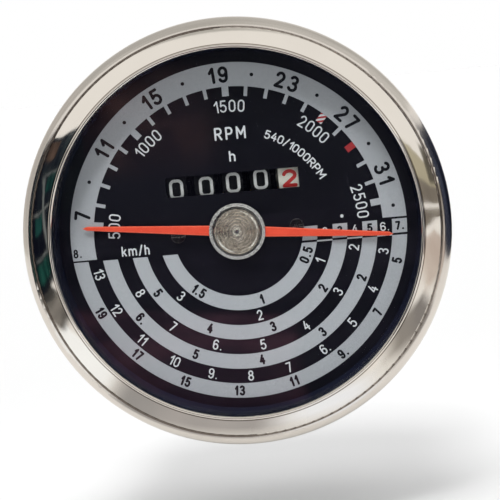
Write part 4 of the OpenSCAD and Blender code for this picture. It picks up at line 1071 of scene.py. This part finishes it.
# Case. A cup drawn from steel sheet, zinc plated and passivated: faint drawing lines along
# the barrel, cloudy plating, and a flange that the bezel grips.
passivated, tree, shader = new_finish("passivated_zinc", metallic=1.0)
clouds = cloudy(tree, 0.06, 1.4)
spangle = cloudy(tree, 0.9)
lines = use(tree, drawn, "Lines", across=1.2, along=0.02)
colour = blend_colours(tree, clouds, (0.53, 0.54, 0.53), (0.66, 0.66, 0.62))
colour = laid_over(tree, colour, spangle, 0.30, (0.72, 0.73, 0.74))
colour = laid_over(tree, colour, use(tree, edge_wear_and_highlight, "Mask", width=0.5), 0.5, (0.82, 0.83, 0.84))
rough = ramp(tree, times(tree, calculate(tree, "ADD", lines, clouds), 0.5), out_low=0.28, out_high=0.46)
height = calculate(tree, "ADD", lines, times(tree, spangle, 0.3))
feed(tree, shader, colour, rough, height, 0.02)
dress(passivated, "case")

# Drive connector. Turned from hexagon steel and zinc plated: an M18 x 1.5 thread for the nut
# of the flexible drive, a collar 24 mm across the flats, and a bored cavity for its end.
thread_front, thread_back, thread_core = -66.5, -78.0, 8.0
thread_radius, thread_pitch = 9.0, 1.5
collar_front, across_flats = -64.5, 24.0
cavity_radius, cavity_front, bush_radius = 6.0, -68.0, 4.45
spigot_radius, spigot_front = 6.25, -61.0
thread_depth, thread_rows = 0.58, 10


def helical_rod(major, pitch, front, back, inside, centre=(0.0, 0.0), sides=72):
    """Points and faces of a threaded sleeve, or of a rod where inside is 0. The thread fades
    out over a little less than its pitch at both ends."""
    depth = thread_depth * pitch

    def reach(z, turn):
        fade = min(1.0, (z - back) / (0.9 * pitch) + 0.12, (front - z) / (0.7 * pitch) + 0.05)
        slope = 1 - abs(2 * ((z / pitch - turn) % 1.0) - 1)
        return major - depth + depth * fade * min(1.0, max(0.0, 1.25 * slope - 0.12))

    rows = math.ceil((front - back) / pitch * thread_rows)
    points = ring_points(inside, back, sides, centre)
    for row in range(rows + 1):
        z = back + (front - back) * row / rows
        points += ring_points(lambda turn: reach(z, turn), z, sides, centre)
    points += ring_points(inside, front, sides, centre)
    return points, ring_faces(rows + 3, sides, closed=inside > 0)


def hexagon_collar(flats, front, back, hole, sides=144):
    """Points and faces of a hexagon nut with a hole. Its corners are turned down to a radius
    that changes with the height, a share of the width across the flats."""
    points = []
    for z, share in ((front, 0.56), (front - 0.25, 0.60), (back + 0.45, 0.60), (back, 0.515)):
        points += ring_points(lambda turn: min(flats / 2 / math.cos(math.radians(360 * turn % 60 - 30)),
                                               share * flats), z, sides)
    points += ring_points(hole, back, sides) + ring_points(hole, front, sides)
    return points, ring_faces(6, sides, closed=True)


connector_body = lathe([
    (cavity_radius, thread_back + 0.4), (cavity_radius + 0.4, thread_back), (thread_core, thread_back),
    (thread_core, thread_front + 0.1), (spigot_radius, thread_front + 0.1),
    (spigot_radius, spigot_front - 0.2), (spigot_radius - 0.2, spigot_front),
    (bush_radius, spigot_front), (bush_radius, cavity_front), (cavity_radius, cavity_front)], sides=96)
thread = helical_rod(thread_radius, thread_pitch, thread_front + 0.05, thread_back + 0.02, thread_core - 0.2)
collar = hexagon_collar(across_flats, collar_front, thread_front, spigot_radius - 0.1)
blue_zinc = metal("blue_zinc_plate", (0.50, 0.52, 0.56), (0.34, 0.36, 0.39), (0.22, 0.34),
                  across=0.5, along=0.5, bright_edge_share=0.8)
connector = build("drive_connector_cut", merged(connector_body, thread, collar), "housing", "zinc",
                  blue_zinc, sharp=40)
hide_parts("drive_connector")
dress(rubber, "connector_washer")

# Mounting studs. Two M5 studs, zinc plated, pressed into the back wall by their necks, for
# the clamp that pulls the bezel against the panel.
stud_x, stud_radius, stud_pitch, stud_end = 25.0, 2.5, 0.8, -82.0
case_back, case_inside = -64.0, -63.0
neck_radius, head_radius, head_front = 3.0, 5.0, -61.8
stud_parts = []
for side in (-1, 1):
    place = (side * stud_x, 0.0)
    stud_parts.append(helical_rod(stud_radius, stud_pitch, case_back, stud_end, 0.0, place, sides=36))
    stud_parts.append(lathe([
        (0.0, case_back - 0.02), (neck_radius, case_back - 0.02), (neck_radius, case_inside),
        (head_radius, case_inside), (head_radius, head_front - 0.15), (head_radius - 0.15, head_front),
        (0.0, head_front)], 48, place))
studs = build("mounting_studs_cut", merged(*stud_parts), "housing", "zinc", blue_zinc, sharp=40)
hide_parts("mounting_studs")

# Lamps. Two moulded holders push into the back wall, each with a ribbed grip and two brass
# contacts, and carry a wedge base bulb that lights the dial from behind its edge.
lamp_places = [polar(40.5, angle) for angle in (-33, 213)]
grip_radius, rib_depth, rib_count, grip_end = 4.5, 0.32, 16, -73.0
rim_radius, rim_back = 7.5, -65.5
plug_radius, plug_front = 6.0, -57.0
socket_radius, socket_floor = 3.3, -59.0
contact_x, contact_half = 3.0, 0.4
contact_rows = [(1.6, -72.9), (1.6, -77.2), (1.1, -78.0)]
black_plastic = plastic("black_moulding", (0.012, 0.012, 0.013), (0.006, 0.006, 0.007), (0.42, 0.58),
                        gloss=0.25)


def rib_reach(turn):
    """Radius of the ribbed grip at a share of a turn."""
    return grip_radius - rib_depth * (0.5 + 0.5 * math.cos(math.tau * rib_count * turn)) ** 2


holder_parts, contact_parts = [], []
for middle in lamp_places:
    holder_parts.append(prism([ring_points(rib_reach, 0.0, 96, middle)], grip_end, rim_back + 0.1))
    holder_parts.append(lathe([
        (0.0, rim_back), (rim_radius - 0.25, rim_back), (rim_radius, rim_back + 0.25),
        (rim_radius, case_back - 0.15), (rim_radius - 0.15, case_back), (plug_radius, case_back),
        (plug_radius, plug_front - 0.3), (plug_radius - 0.3, plug_front), (socket_radius, plug_front),
        (socket_radius, socket_floor), (0.0, socket_floor)], 64, middle))
    for side in (-1, 1):
        points = [(middle.x + side * contact_x + a * contact_half, middle.y + b * half_tall, z)
                  for half_tall, z in contact_rows for a, b in ((-1, -1), (1, -1), (1, 1), (-1, 1))]
        contact_parts.append((points, ring_faces(3, 4) + [[0, 1, 2, 3], [11, 10, 9, 8]]))
holders = build("lamp_holders_moulded", merged(*holder_parts), "housing", "black_plastic",
                black_plastic, sharp=40)
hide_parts("lamp_holders")
build("lamp_contacts", merged(*contact_parts), "housing", "brass", brass)

bulb_glass, tree, shader = new_finish(
    "bulb_glass", transmission_weight=1.0, ior=1.46, base_color=(0.96, 0.95, 0.90, 1))
feed(tree, shader, roughness=cloudy(tree, 0.5, low=0.02, high=0.08))
dress(bulb_glass, "lamp_bulbs")

# Earth terminal. A 6.3 mm spade, stamped from sheet, bent and zinc plated, under a slotted steel
# screw in the back wall of the case.
dress(zinc, "earth_tab")
dress(steel, "earth_screw")
